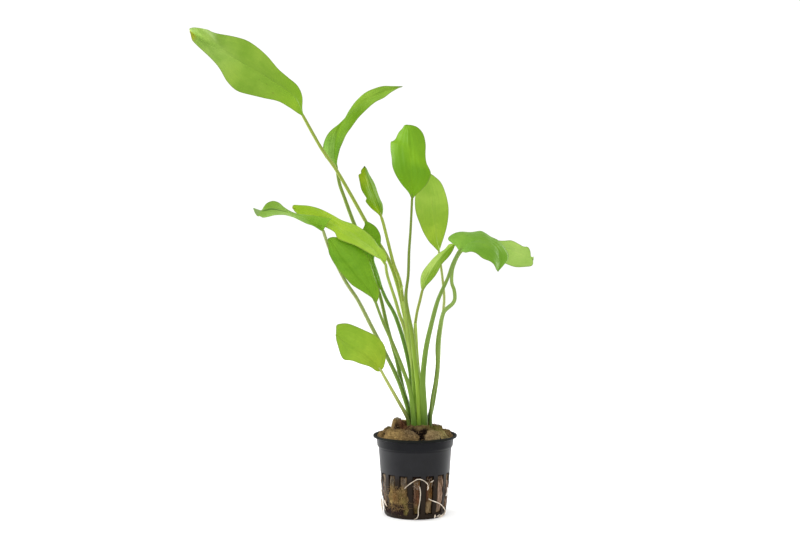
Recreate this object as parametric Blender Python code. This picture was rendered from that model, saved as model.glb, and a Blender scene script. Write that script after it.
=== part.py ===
"""A potted echinodorus: a broad-leaved water plant rooted in mineral wool, in a slotted plastic grow pot.

Run with: blender --background --python part.py
Metres, +Z up. The origin is the middle of the pot's foot, on the surface that the pot stands on.
The viewer stands on the -Y side.
"""

import math

import bmesh
import bpy
from mathutils import Vector

MM = 0.001
GAP = 0.35  # clearance between pieces that touch, in millimetres

# The pot, in millimetres. Each profile is (radius, height), from the rim down.
POT_OUTSIDE = [
    (26.9, 52.7),
    (27.5, 52.3),
    (27.5, 51.3),
    (25.3, 50.4),
    (24.9, 45.7),
    (24.0, 44.8),
    (22.9, 30.0),
    (21.9, 15.7),
    (20.8, 7.5),
    (20.3, 1.8),
    (19.3, 0.0),
]
POT_NECK = 4  # the profile's point at the foot of the plain band under the lip
POT_WALL = 1.1
POT_FLOOR = 1.4
POT_FLOOR_ROUNDING = 0.9
POT_MOUTH_FLARE = 0.5
POT_STEPS = 48
SLOT_COUNT = 16
SLOT_WIDTH = 5.6
SLOT_BOTTOM = 3.3
SLOT_TOP = 28.6
SLOT_TURN = 2.25  # degrees from the viewer to the middle of the nearest slot
CUT_MARGIN = 3.0  # how far the slots' tool passes the wall on each side

# The mineral wool, in millimetres: (share of the radius, height) of its top, from the rim to the middle.
WOOL_TOP = [(1.0, 51.4), (0.95, 53.8), (0.86, 55.2), (0.72, 57.4), (0.55, 58.8), (0.34, 59.0)]
WOOL_SIDE_HEIGHTS = [3.2, 7.5, 15.7, 30.0, 44.8]
WOOL_FOOT = 1.8
WOOL_FOOT_ROUNDING = 1.2
WOOL_STEPS = 32
# Lumps of the torn wool: (x, y, height, reach).
WOOL_LUMPS = [
    (-12.0, 1.5, 4.6, 4.2),
    (-17.0, -4.0, 1.4, 4.0),
    (15.0, 1.0, 2.2, 4.5),
    (-9.0, -12.0, 1.2, 5.0),
    (9.0, -12.0, 1.0, 5.0),
    (-6.0, 12.0, 2.2, 5.0),
    (9.0, 13.0, 1.4, 4.5),
]

# The crown, the short rootstock that the stalks grow from, in millimetres.
CROWN_MIDDLE = (3.0, 0.0)
CROWN_REACH = (9.6, 8.0)  # half its length along X and along Y
CROWN_PROFILE = [(0.93, 58.5), (1.0, 57.9), (0.96, 55.5), (0.78, 52.0), (0.45, 49.5)]
CROWN_STEPS = 22
RECESS_PROFILE = [(1.0, 68.0)] + CROWN_PROFILE[1:]  # the hollow in the wool that the crown sits in
STALK_FOOT = CROWN_PROFILE[0][1] + GAP
STALK_RISE = 2.5  # the length that every stalk rises straight off the crown

# The leaves. The eye looks along +Y from EYE. Every point is (across, up, away) in millimetres: the place
# where it is seen on the upright plane through the pot's middle, and how far behind that plane it lies
# along the line of sight. foot is where the stalk stands on the crown, as (x, y).
EYE = Vector((-9.9, -1000.0, 210.0))
LEAVES = {
    "high_left": {
        "foot": (3.6, 4.6),
        "stalk": [
            (1, 78.5, 6.5), (-1.5, 101.5, 8.5), (-6, 126.5, 11.5), (-11, 149, 13.5),
            (-17.5, 167.5, 15.5), (-29, 186.5, 18), (-41, 208, 20.5), (-51.5, 226, 22),
            (-61.5, 240.5, 23), (-73, 261, 24),
        ],
        "rib": [
            (-79, 272.5, 23), (-91, 282, 21.5), (-107.5, 292, 19), (-123, 301, 16),
            (-136.5, 308.5, 12.5), (-145.5, 314.5, 9),
        ],
        "left": [
            (-78, 263.5, 20.5), (-90, 269.5, 18), (-110, 274.5, 14.5), (-125.5, 287.5, 12),
            (-139, 303, 10),
        ],
        "right": [
            (-73.5, 271, 27), (-80, 284, 27), (-95.5, 299, 25.5), (-113.5, 311, 22),
            (-133, 315.5, 15.5),
        ],
        "thick": (2.9, 1.6),
        "tip": 5.0,
    },
    "folded": {
        "foot": (-1.6, 4.9),
        "stalk": [
            (-7.5, 80.5, 8), (-12, 101.5, 13), (-18, 122.5, 19), (-22.5, 142, 24), (-29, 162, 28),
            (-34.5, 178, 32), (-40.7, 193, 35.5), (-46, 207.5, 38.5), (-49.2, 216.5, 40.5),
            (-51, 226, 42),
        ],
        "rib": [
            (-52.5, 237.5, 44), (-50.5, 249, 46), (-45, 260, 47), (-35, 269, 46.5), (-22, 275.5, 45),
            (-9.5, 279.5, 42),
        ],
        "left": [(-60, 237, 47), (-57.5, 248, 50.5), (-47, 258, 53), (-40, 269, 53), (-26, 278.5, 48)],
        "right": [
            (-50.5, 234, 39.5), (-47, 246, 36.5), (-40.5, 255.5, 35.5), (-30, 266.5, 36),
            (-17.5, 274, 38),
        ],
        "thick": (2.7, 1.6),
        "tip": 0.6,
    },
    "upright": {
        "foot": (2.6, -4.2),
        "stalk": [
            (2.5, 78.5, -5), (0, 101.5, -6.5), (-2.5, 121, -8), (-6, 141, -9.5), (-4.5, 157.5, -11.5),
            (-4, 172.5, -14), (-3, 186.5, -17), (-2, 207, -21),
        ],
        "rib": [
            (-2, 216, -23), (-2.5, 226, -24), (-3.5, 235.5, -24.5), (-4.5, 244, -24),
            (-4.5, 250.5, -22.5), (-4.5, 255, -20.5),
        ],
        "left": [
            (-7.5, 215.5, -19), (-13, 226, -17), (-16, 237, -16), (-16, 244, -15.5), (-10.5, 251, -16),
        ],
        "right": [
            (4.5, 212, -26), (10.5, 222.5, -29), (7, 233, -28.5), (6.5, 243.5, -26.5), (3, 252.5, -23),
        ],
        "thick": (3.0, 1.8),
        "tip": 4.5,
    },
    "upright_back": {
        "foot": (9.2, 3.4),
        "stalk": [
            (12, 75, 6), (15, 95, 9), (16, 114.5, 13), (17.5, 126.5, 15), (19, 141, 18.5),
            (18, 154, 21), (17, 162, 23), (15.5, 172.5, 26),
        ],
        "rib": [
            (13.5, 180, 27.5), (12, 189.5, 30), (11, 198.5, 32), (10.5, 207.5, 33.5), (9, 216.5, 34),
            (7, 224.5, 33.5),
        ],
        "left": [(10.5, 178, 25), (5, 186, 25), (1, 196.5, 26), (-0.5, 205, 28), (2, 214.5, 30.5)],
        "right": [(18, 178, 29.5), (21, 188, 33), (22, 199, 37), (20.5, 209, 38), (16, 218.5, 36.5)],
        "thick": (2.6, 1.4),
        "tip": 1.0,
    },
    "narrow": {
        "foot": (3.7, -0.6),
        "stalk": [
            (1.5, 78.5, 0.9), (-1, 101.5, 1), (-4.5, 121, 0.5), (-8, 141, -0.5), (-10, 153.5, -2),
            (-14, 164.5, -4), (-17, 176, -7), (-20.5, 190, -11), (-22, 195, -12.5),
        ],
        "rib": [
            (-24, 201, -14.5), (-27, 208, -17), (-29.5, 214.5, -19), (-31.5, 220.5, -20.5),
            (-32.5, 225, -21), (-33, 228, -20.5),
        ],
        "left": [
            (-28, 200, -18), (-31.5, 206, -23), (-34.5, 212, -26), (-36.5, 220, -25.5),
            (-35.5, 224, -23),
        ],
        "right": [
            (-21.5, 200.5, -10), (-22.5, 207, -9.5), (-25, 213.5, -10.5), (-28.5, 220, -13),
            (-31, 225, -16),
        ],
        "thick": (2.6, 1.7),
        "tip": 0.6,
    },
    "curled": {
        "foot": (-3.0, 1.2),
        "stalk": [
            (-6, 74, 1.5), (-11.5, 89.5, 2), (-19.5, 106, 2), (-29, 124.5, 1.5), (-37.5, 141, 1),
            (-46, 154, 0), (-55.5, 173.5, -2), (-60, 186, -6),
        ],
        "rib": [
            (-67.5, 191.5, -9.5), (-76.5, 196, -14), (-85.5, 198.5, -18.5), (-93.5, 200, -22),
            (-100, 199, -24.5), (-105, 199.5, -25.5),
        ],
        "left": [
            (-65.5, 188.5, -15), (-73, 192, -24), (-83, 195.5, -31), (-92.5, 196.5, -33.5),
            (-100.5, 195, -31),
        ],
        "right": [
            (-57, 194, -7), (-69, 196.5, -7.5), (-81, 199, -9.5), (-90.5, 205, -14), (-99, 203, -20.5),
        ],
        "thick": (2.8, 1.7),
        "tip": 2.0,
    },
    "slanting": {
        "foot": (0.3, -1.3),
        "stalk": [
            (-0.5, 78.5, -1.6), (-2.5, 101.5, -1.8), (-7, 122, -2.4), (-10.3, 131.5, -2.7),
            (-13, 141, -3), (-18, 156.5, -3.5), (-19.2, 164, -4),
        ],
        "rib": [
            (-27.5, 174.5, -2.5), (-38.5, 183, -0.5), (-49.5, 189, 1), (-61, 194.5, 2), (-71, 198.5, 3),
            (-79.5, 201.5, 3.5),
        ],
        "left": [
            (-28, 169, -8), (-40.5, 177.5, -8.5), (-50.5, 182, -7.5), (-60, 189.5, -4),
            (-73, 196, -1),
        ],
        "right": [
            (-22.5, 175.5, 1), (-32, 185.5, 5), (-45, 192, 8), (-57.5, 198.5, 9.5),
            (-70, 202.5, 8),
        ],
        "thick": (2.6, 1.5),
        "tip": 2.0,
    },
    "mid_left": {
        "foot": (-0.9, -5.0),
        "stalk": [
            (-3, 80, -6.5), (-8, 95.5, -8), (-14.5, 112, -9), (-21, 126.5, -10), (-25.5, 138.5, -11),
        ],
        "rib": [
            (-30, 147.5, -10.5), (-36.5, 156, -9.5), (-42.5, 164, -8.5), (-48, 170.5, -7.5),
            (-51.5, 176, -6.5), (-55, 180, -5.5),
        ],
        "left": [
            (-32, 145, -12.5), (-41.5, 150.5, -12.5), (-49, 158, -11), (-53.5, 166, -9),
            (-56.5, 173.5, -7),
        ],
        "right": [
            (-23.5, 145.5, -8.5), (-26, 154, -6.5), (-30, 164.5, -5), (-35.5, 174.5, -4.5),
            (-46, 180, -4.5),
        ],
        "thick": (2.8, 1.5),
        "tip": 1.6,
    },
    "shaded": {
        "foot": (0.4, 2.2),
        "stalk": [
            (-1.5, 78.5, 3.2), (-3.5, 96.5, 4.3), (-7.5, 114, 5), (-13, 130.5, 6), (-18.5, 140.5, 6.5),
            (-21, 146, 7),
        ],
        "rib": [
            (-23.5, 154, 8), (-26.5, 162.5, 9.5), (-29, 171, 10.5), (-30.5, 178, 11.5),
            (-32, 185.5, 12.5), (-32.5, 192, 13),
        ],
        "left": [
            (-26, 152.5, 5), (-31.5, 162, 5.5), (-35.5, 171, 7), (-37.5, 180, 9), (-33.5, 188.5, 11),
        ],
        "right": [
            (-22.5, 153.5, 10.5), (-25.5, 161, 12), (-26, 169, 13), (-22.5, 178, 13.5),
            (-26, 188, 13.5),
        ],
        "thick": (2.9, 1.8),
        "tip": 0.8,
    },
    "small": {
        "foot": (6.3, 1.4),
        "stalk": [
            (4, 78.5, 3), (1, 101.5, 4.6), (0, 121, 6), (1, 131.5, 7.5), (3.5, 142, 9),
            (4.5, 146.5, 10),
        ],
        "rib": [
            (7, 153.5, 9), (10.5, 160, 8), (14.5, 166, 7), (18, 170.5, 6), (22.5, 175, 5.5),
            (26.5, 178, 5.5),
        ],
        "left": [(3, 153.5, 12), (6.5, 162, 14), (11.5, 169, 14), (17, 173.5, 12.5), (22.5, 178, 9)],
        "right": [(8.5, 151, 6), (13.5, 157.5, 3), (18, 164, 1.5), (22, 169.5, 1.5), (25.5, 174.5, 3)],
        "thick": (2.5, 1.4),
        "tip": 0.6,
    },
    "drooping": {
        "foot": (6.0, -4.6),
        "stalk": [
            (5.5, 75, -7.4), (5, 88.5, -9), (7, 108, -11.5), (10.5, 124.5, -14), (15, 141, -17),
            (21, 154.5, -20.5), (24.5, 164.5, -23), (28.5, 172.5, -25.5),
        ],
        "rib": [
            (36, 179, -29), (43, 180, -32), (49, 178, -34.5), (53.5, 173.5, -36), (55.5, 166.5, -36.5),
            (54.5, 160, -36),
        ],
        "left": [
            (22.5, 181, -19), (31, 185.5, -18.5), (42.5, 186.5, -21), (51.5, 181, -26),
            (60.5, 171.5, -32),
        ],
        "right": [(32, 172.5, -34), (39, 172, -40.5), (45.5, 168, -44), (50, 165, -44), (53, 162, -41.5)],
        "thick": (3.2, 2.0),
        "tip": 0.8,
    },
    "pale": {
        "foot": (10.0, -0.5),
        "stalk": [
            (11, 75, -0.5), (14.5, 95, -0.5), (15, 111.5, -0.3), (16.5, 124, 0), (18.5, 132.5, 0.5),
            (21, 135.5, 1), (24.5, 138.5, 1.5), (26, 142, 2), (25.5, 147.5, 3), (24, 152, 4),
            (24, 158, 5), (25, 163, 6.5), (27.5, 169, 8.5), (31, 173.5, 11), (36.5, 175.5, 14),
            (41.5, 175.5, 16),
        ],
        "rib": [
            (48, 175.5, 17.5), (54.5, 175, 19), (61.5, 173.5, 20.5), (67, 171.5, 21.5),
            (72.5, 169.5, 22), (77.5, 168.5, 22),
        ],
        "left": [(47, 179, 21), (53.5, 180, 24.5), (61, 180, 26), (68.5, 177, 26), (74.5, 175, 25)],
        "right": [
            (47.5, 171.5, 13.5), (53.5, 167.5, 13.5), (60, 164.5, 14.5), (68, 162.5, 16),
            (75.5, 163, 17.5),
        ],
        "thick": (3.1, 1.8),
        "tip": 5.0,
    },
    "low_left": {
        "foot": (-4.1, -2.6),
        "stalk": [(-6.5, 66.5, -4.5), (-12.5, 77, -9), (-19, 88.5, -16), (-22, 94, -19.5)],
        "rib": [
            (-26.5, 100, -22.5), (-32, 106, -26.5), (-38, 109.5, -30), (-43.5, 113, -33),
            (-48, 115.5, -35.5), (-52, 118, -38),
        ],
        "left": [(-27, 96, -23), (-34, 99, -28), (-41.5, 101, -33.5), (-47, 102.5, -38), (-50, 109, -40)],
        "right": [
            (-19, 103.5, -20), (-21.5, 113.5, -22.5), (-29.5, 119.5, -24.5), (-38.5, 123.5, -27.5),
            (-47, 125.5, -32.5),
        ],
        "thick": (2.5, 1.4),
        "tip": 7.0,
    },
}
BLADE_THICKNESS = 0.5
BLADE_ROWS = 9
BLADE_COLUMNS = 6  # an even number, so that a column of points runs along the rib
STALK_SPACING = 13.0  # the length of one straight run of a stalk
TUBE_ROUNDING = 2  # which gives a stalk or a root eight sides
FINE_STEPS = 24  # steps from one point of a smooth curve to the next

# The roots that have grown out through the slots: (turn from the viewer in degrees, height, stand-off).
ROOT_THICKNESS = 0.8
ROOT_CLEAR = 0.85
ROOT_LOW_CLEAR = 1.0  # round the foot of the pot
ROOT_INSIDE = -0.75  # the ends of a root, sunk in its slot
ROOT_SPACING = 3.6  # the length of one straight run of a root
ROOTS = {
    "root_arch": [
        (-19, 20.2, ROOT_INSIDE), (-15.5, 21.8, ROOT_CLEAR), (-9, 24.0, ROOT_CLEAR),
        (-2, 26.0, ROOT_CLEAR), (3, 27.1, ROOT_CLEAR), (9, 27.0, ROOT_CLEAR), (15, 25.6, ROOT_CLEAR),
        (20, 23.5, ROOT_CLEAR), (23, 20.6, ROOT_INSIDE),
    ],
    "root_long": [
        (5.5, 21.5, ROOT_INSIDE), (8, 18.5, ROOT_CLEAR), (8, 15.5, ROOT_CLEAR), (7, 11.5, ROOT_CLEAR),
        (5, 6.8, ROOT_CLEAR), (5, 3.5, ROOT_LOW_CLEAR), (2, 1.3, ROOT_LOW_CLEAR),
        (-2, 0.5, ROOT_LOW_CLEAR),
    ],
    "root_side": [
        (22, 14.2, ROOT_INSIDE), (27, 12.9, ROOT_CLEAR), (35, 11.6, ROOT_CLEAR), (45, 9.9, ROOT_CLEAR),
        (54, 7.7, ROOT_CLEAR), (64, 4.6, ROOT_LOW_CLEAR), (65, 2.1, ROOT_LOW_CLEAR),
        (57, 0.7, ROOT_LOW_CLEAR), (49, 0.6, ROOT_LOW_CLEAR),
    ],
}


def clear_scene():
    for thing in list(bpy.data.objects):
        bpy.data.objects.remove(thing, do_unlink=True)


def material(name, colour, roughness, metallic=0.0):
    """A Principled material, made once for each name."""
    found = bpy.data.materials.get(name)
    if found:
        return found
    made = bpy.data.materials.new(name)
    made.use_nodes = True
    shader = made.node_tree.nodes["Principled BSDF"]
    shader.inputs["Base Color"].default_value = (*colour, 1.0)
    shader.inputs["Roughness"].default_value = roughness
    shader.inputs["Metallic"].default_value = metallic
    return made


def plastic():
    return material("charcoal_plastic", (0.030, 0.030, 0.036), 0.45)


def mineral_wool():
    return material("mineral_wool", (0.25, 0.18, 0.09), 0.95)


def crown_skin():
    return material("crown_skin", (0.30, 0.40, 0.12), 0.6)


def leaf_green():
    return material("leaf_green", (0.22, 0.45, 0.06), 0.45)


def stalk_green():
    return material("stalk_green", (0.16, 0.30, 0.05), 0.45)


def root_white():
    return material("root_white", (0.75, 0.66, 0.52), 0.6)


def link(name, data, finish):
    """Put a mesh or a curve in the scene as the object of that name."""
    data.materials.append(finish)
    thing = bpy.data.objects.new(name, data)
    bpy.context.scene.collection.objects.link(thing)
    return thing


def mesh_from(name, points, faces):
    """A mesh from points in millimetres."""
    mesh = bpy.data.meshes.new(name)
    mesh.from_pydata([Vector(point) * MM for point in points], [], faces)
    mesh.validate()
    return mesh


def smooth_round(mesh, sharp_angle=40):
    mesh.shade_smooth()
    mesh.set_sharp_from_angle(angle=math.radians(sharp_angle))


def cutter(name, mesh):
    """A tool for a Boolean, which is no part of the plant."""
    thing = bpy.data.objects.new(name, mesh)
    bpy.context.scene.collection.objects.link(thing)
    thing.hide_render = True
    thing.display_type = "WIRE"
    return thing


def subtract(thing, tool):
    cut = thing.modifiers.new("cut", "BOOLEAN")
    cut.operation = "DIFFERENCE"
    cut.solver = "EXACT"
    cut.object = tool


def radius_at(height):
    """The pot's outer radius at a height."""
    below = POT_OUTSIDE[::-1]
    for (low_radius, low), (high_radius, high) in zip(below, below[1:]):
        if height <= high:
            share = max(0.0, height - low) / (high - low)
            return low_radius + (high_radius - low_radius) * share
    return below[-1][0]


def on_pot(turn, height, standoff):
    """A point at a height over the pot's outer wall, turned from the viewer towards +X."""
    radius = radius_at(height) + standoff
    angle = math.radians(turn)
    return Vector((radius * math.sin(angle), -radius * math.cos(angle), height))


def seen_at(across, up, away):
    """The point seen at (across, up) on the plane through the pot's middle, and that far behind it."""
    on_plane = Vector((across, 0.0, up))
    return on_plane + (on_plane - EYE) * (away / -EYE.y)


def spline_point(points, position):
    """A smooth curve through the points: position runs from 0 to their number less 1."""
    last = len(points) - 1
    index = min(int(position), last - 1)
    t = position - index
    before = points[index - 1] if index > 0 else points[0] * 2 - points[1]
    start, end = points[index], points[index + 1]
    after = points[index + 2] if index + 2 <= last else points[last] * 2 - points[last - 1]
    return 0.5 * (
        2 * start
        + (end - before) * t
        + (2 * before - 5 * start + 4 * end - after) * t**2
        + (3 * start - before - 3 * end + after) * t**3
    )


def spaced_along(points, spacing):
    """Points at even lengths along the smooth curve through the given points, with its ends."""
    count = (len(points) - 1) * FINE_STEPS
    fine = [spline_point(points, step / FINE_STEPS) for step in range(count + 1)]
    lengths = [0.0]
    for here, there in zip(fine, fine[1:]):
        lengths.append(lengths[-1] + (there - here).length)
    runs = max(2, round(lengths[-1] / spacing))
    chosen, index = [], 0
    for run in range(runs):
        goal = lengths[-1] * run / runs
        while lengths[index] < goal:
            index += 1
        chosen.append(fine[index])
    return chosen + [fine[-1]]


def tube(name, points, thick_start, thick_end, finish):
    """A round tapering stem through the points, with closed ends."""
    curve = bpy.data.curves.new(name, "CURVE")
    curve.dimensions = "3D"
    curve.bevel_depth = MM / 2
    curve.bevel_resolution = TUBE_ROUNDING
    curve.use_fill_caps = True
    line = curve.splines.new("POLY")
    line.points.add(len(points) - 1)
    for index, point in enumerate(points):
        share = index / (len(points) - 1)
        line.points[index].co = (*(point * MM), 1.0)
        line.points[index].radius = thick_start + (thick_end - thick_start) * share
    line.use_smooth = True
    return link(name, curve, finish)


def slot_cutter():
    """Every slot of the pot's wall, as one tool."""
    inner, outer = radius_at(0.0) - CUT_MARGIN, radius_at(SLOT_TOP) + CUT_MARGIN
    tool = bmesh.new()
    for number in range(SLOT_COUNT):
        turn = math.radians(SLOT_TURN + 360.0 * number / SLOT_COUNT)
        out = Vector((math.sin(turn), -math.cos(turn), 0.0))
        side = Vector((math.cos(turn), math.sin(turn), 0.0)) * (SLOT_WIDTH / 2)
        ring = []
        for height in (SLOT_BOTTOM, SLOT_TOP):
            lift = Vector((0.0, 0.0, height))
            corners = (out * inner - side, out * outer - side, out * outer + side, out * inner + side)
            ring.append([tool.verts.new((corner + lift) * MM) for corner in corners])
        low, high = ring
        tool.faces.new(low)
        tool.faces.new(high)
        for here, there in ((0, 1), (1, 2), (2, 3), (3, 0)):
            tool.faces.new((low[here], low[there], high[there], high[here]))
    bmesh.ops.recalc_face_normals(tool, faces=tool.faces)
    mesh = bpy.data.meshes.new("slots")
    tool.to_mesh(mesh)
    tool.free()
    return cutter("slots", mesh)


def pot():
    """The slotted pot: a profile turned about the upright axis, with its slots cut out."""
    inside = [(radius - POT_WALL, height) for radius, height in POT_OUTSIDE[POT_NECK:-1]][::-1]
    (foot_radius, foot_height), (neck_radius, _) = inside[0], inside[-1]
    profile = [(0.0, POT_FLOOR), (foot_radius - POT_FLOOR_ROUNDING, POT_FLOOR)]
    profile += [(foot_radius, foot_height + POT_FLOOR_ROUNDING)] + inside[1:]
    profile += [(neck_radius + POT_MOUTH_FLARE, POT_OUTSIDE[0][1])]
    profile += POT_OUTSIDE + [(0.0, 0.0)]
    mesh = bpy.data.meshes.new("pot")
    points = [(radius * MM, 0.0, height * MM) for radius, height in profile]
    mesh.from_pydata(points, [(index, index + 1) for index in range(len(points) - 1)], [])
    thing = link("pot", mesh, plastic())
    turned = thing.modifiers.new("turned", "SCREW")
    turned.steps = turned.render_steps = POT_STEPS
    turned.use_merge_vertices = True
    turned.merge_threshold = 0.00005
    subtract(thing, slot_cutter())
    return thing


def wool_height(x, y, base):
    lumps = 0.0
    for lump_x, lump_y, height, reach in WOOL_LUMPS:
        far = math.hypot(x - lump_x, y - lump_y) / reach
        lumps += height * math.exp(-far * far)
    return base + lumps


def wool_radius(height):
    return radius_at(height) - POT_WALL - GAP


def rockwool():
    """The plug of mineral wool that fills the pot and heaps up over its rim."""
    rings = [(wool_radius(WOOL_FOOT) - WOOL_FOOT_ROUNDING, WOOL_FOOT)]
    rings += [(wool_radius(height), height) for height in WOOL_SIDE_HEIGHTS]
    rim = wool_radius(POT_OUTSIDE[POT_NECK][1])
    angles = [2 * math.pi * step / WOOL_STEPS for step in range(WOOL_STEPS)]
    points = [(0.0, 0.0, WOOL_FOOT)]
    for radius, z in rings:
        points += [(radius * math.cos(a), radius * math.sin(a), z) for a in angles]
    for share, base in WOOL_TOP:
        for a in angles:
            x, y = rim * share * math.cos(a), rim * share * math.sin(a)
            points.append((x, y, wool_height(x, y, base) if share < 1.0 else base))
    points.append((0.0, 0.0, wool_height(0.0, 0.0, WOOL_TOP[-1][1])))
    ring_count = len(rings) + len(WOOL_TOP)
    faces = []
    for step in range(WOOL_STEPS):
        following = (step + 1) % WOOL_STEPS
        faces.append((0, 1 + following, 1 + step))
        for ring in range(ring_count - 1):
            low, high = 1 + ring * WOOL_STEPS, 1 + (ring + 1) * WOOL_STEPS
            faces.append((low + step, low + following, high + following, high + step))
        last = 1 + (ring_count - 1) * WOOL_STEPS
        faces.append((last + step, last + following, len(points) - 1))
    mesh = mesh_from("rockwool", points, faces)
    smooth_round(mesh, 60)
    thing = link("rockwool", mesh, mineral_wool())
    subtract(thing, cutter("recess", crown_mesh("recess", RECESS_PROFILE, GAP)))
    return thing


def crown_mesh(name, profile, swell):
    """An upright form with the crown's oval outline, made larger all round by swell."""
    points, faces = [], []
    for number, (share, height) in enumerate(profile):
        deeper = swell if number == len(profile) - 1 else 0.0
        for step in range(CROWN_STEPS):
            angle = 2 * math.pi * step / CROWN_STEPS
            x = CROWN_MIDDLE[0] + (CROWN_REACH[0] * share + swell) * math.cos(angle)
            y = CROWN_MIDDLE[1] + (CROWN_REACH[1] * share + swell) * math.sin(angle)
            points.append((x, y, height - deeper))
    for ring in range(len(profile) - 1):
        for step in range(CROWN_STEPS):
            following = (step + 1) % CROWN_STEPS
            high, low = ring * CROWN_STEPS, (ring + 1) * CROWN_STEPS
            faces.append((high + step, low + step, low + following, high + following))
    faces.append(tuple(range(CROWN_STEPS)))
    faces.append(tuple(range(len(points) - 1, len(points) - CROWN_STEPS - 1, -1)))
    mesh = mesh_from(name, points, faces)
    smooth_round(mesh, 50)
    return mesh


def crown():
    return link("crown", crown_mesh("crown", CROWN_PROFILE, 0.0), crown_skin())


def stalk_points(leaf):
    """The middle line of a leaf's stalk, from the crown to the blade."""
    foot = Vector((*leaf["foot"], STALK_FOOT))
    risen = foot + Vector((0.0, 0.0, STALK_RISE))
    return [foot] + spaced_along([risen] + [seen_at(*point) for point in leaf["stalk"]], STALK_SPACING)


def blade_rails(leaf):
    """The rib and both margins of a blade, each from its base to its tip."""
    rib, left, right = ([seen_at(*point) for point in leaf[rail]] for rail in ("rib", "left", "right"))
    below, top = stalk_points(leaf)[-2:]
    ahead, onward = (top - below).normalized(), (rib[0] - top).normalized()
    base_side = (left[0] - right[0]).normalized() * (leaf["thick"][1] / 2)
    tip_side = (left[-1] - right[-1]).normalized() * (leaf["tip"] / 2)
    clear = GAP + abs(base_side.dot(ahead)) + BLADE_THICKNESS / 2
    base = top + onward * (clear / onward.dot(ahead))
    tip = rib[-1]
    left = [base + base_side] + left + [tip + tip_side]
    right = [base - base_side] + right + [tip - tip_side]
    return left, [base] + rib, right


def blade(name, leaf):
    """A leaf's blade: a sheet spread from margin to rib to margin, given its thickness."""
    left, rib, right = blade_rails(leaf)
    half = BLADE_COLUMNS // 2
    points = []
    for row in range(BLADE_ROWS + 1):
        position = (len(rib) - 1) * row / BLADE_ROWS
        middle = spline_point(rib, position)
        for column in range(-half, half + 1):
            margin = spline_point(left if column < 0 else right, position)
            points.append(middle + (margin - middle) * abs(column) / half)
    width = BLADE_COLUMNS + 1
    faces = []
    for row in range(BLADE_ROWS):
        for column in range(BLADE_COLUMNS):
            first = row * width + column
            faces.append((first, first + 1, first + width + 1, first + width))
    mesh = mesh_from(name, points, faces)
    smooth_round(mesh, 60)
    thing = link(name, mesh, leaf_green())
    sheet = thing.modifiers.new("sheet", "SOLIDIFY")
    sheet.thickness = BLADE_THICKNESS * MM
    sheet.offset = 0.0
    return thing


def leaves():
    for name, leaf in LEAVES.items():
        tube("stalk_" + name, stalk_points(leaf), *leaf["thick"], stalk_green())
        blade("blade_" + name, leaf)


def roots():
    for name, places in ROOTS.items():
        points = spaced_along([on_pot(*place) for place in places], ROOT_SPACING)
        tube(name, points, ROOT_THICKNESS, ROOT_THICKNESS, root_white())


def build():
    clear_scene()
    pot()
    crown()
    rockwool()
    leaves()
    roots()


build()
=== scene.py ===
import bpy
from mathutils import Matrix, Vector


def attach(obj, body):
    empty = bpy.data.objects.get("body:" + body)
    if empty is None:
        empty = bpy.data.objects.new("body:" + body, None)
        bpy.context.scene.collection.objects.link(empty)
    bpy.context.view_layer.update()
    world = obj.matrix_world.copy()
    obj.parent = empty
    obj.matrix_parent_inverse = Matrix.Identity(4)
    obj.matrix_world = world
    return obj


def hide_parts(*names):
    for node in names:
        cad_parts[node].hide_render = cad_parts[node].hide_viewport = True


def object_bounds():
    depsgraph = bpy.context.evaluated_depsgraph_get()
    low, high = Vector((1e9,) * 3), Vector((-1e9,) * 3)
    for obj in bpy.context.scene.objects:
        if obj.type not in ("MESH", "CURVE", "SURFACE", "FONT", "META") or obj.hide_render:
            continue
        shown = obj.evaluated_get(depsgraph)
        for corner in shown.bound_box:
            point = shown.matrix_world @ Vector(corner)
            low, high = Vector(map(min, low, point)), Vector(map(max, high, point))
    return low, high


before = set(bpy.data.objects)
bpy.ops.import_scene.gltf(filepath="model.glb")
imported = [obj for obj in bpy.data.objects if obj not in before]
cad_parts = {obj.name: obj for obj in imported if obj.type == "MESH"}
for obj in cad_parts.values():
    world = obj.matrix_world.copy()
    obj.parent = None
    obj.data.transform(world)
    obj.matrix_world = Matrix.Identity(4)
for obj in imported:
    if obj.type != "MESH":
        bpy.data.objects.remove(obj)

"""The looks of a potted echinodorus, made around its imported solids.

Lengths are in millimetres until a mesh is made, and +Z is up. The viewer stands on the -Y side.
"""

import bisect
import math
import random

import bpy
from mathutils import Vector, noise

CAD_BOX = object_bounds()

MM = 0.001
TAU = 2 * math.pi

# The photograph's frame and its camera.
PHOTO_WIDTH = 800
PHOTO_HEIGHT = 533
PHOTO_FOCAL = 1532.7  # the focal length in the photograph's pixels
SENSOR_WIDTH = 36.0
CAMERA_DROP = 2.70  # degrees that the camera looks down
EYE = Vector((-9.9, -1000.0, 210.0))

# The pot, in millimetres. Each profile is (radius, height), from the rim down.
POT_OUTSIDE = [
    (26.9, 52.7), (27.5, 52.3), (27.5, 51.3), (25.3, 50.4), (24.9, 45.7), (24.0, 44.8),
    (22.9, 30.0), (21.9, 15.7), (20.8, 7.5), (20.3, 1.8), (19.3, 0.0),
]
POT_NECK = 4
POT_WALL = 1.1
POT_FLOOR = 1.4
POT_MOUTH = [(24.0, 48.0), (24.7, 50.4), (25.5, 51.8), (26.0, 52.45)]  # inside the lip, going up
SLOT_COUNT = 16
SLOT_WIDTH = 5.4
SLOT_BOTTOM = 3.3
SLOT_TOP = 28.6
SLOT_TURN = 2.25

# The crown that the stalks stand on, in millimetres.
CROWN_MIDDLE = (3.0, 0.0)
CROWN_REACH = (9.6, 8.0)
CROWN_TOP = 58.5
GAP = 0.35
STALK_FOOT = CROWN_TOP + GAP
STALK_RISE = 2.5

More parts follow.
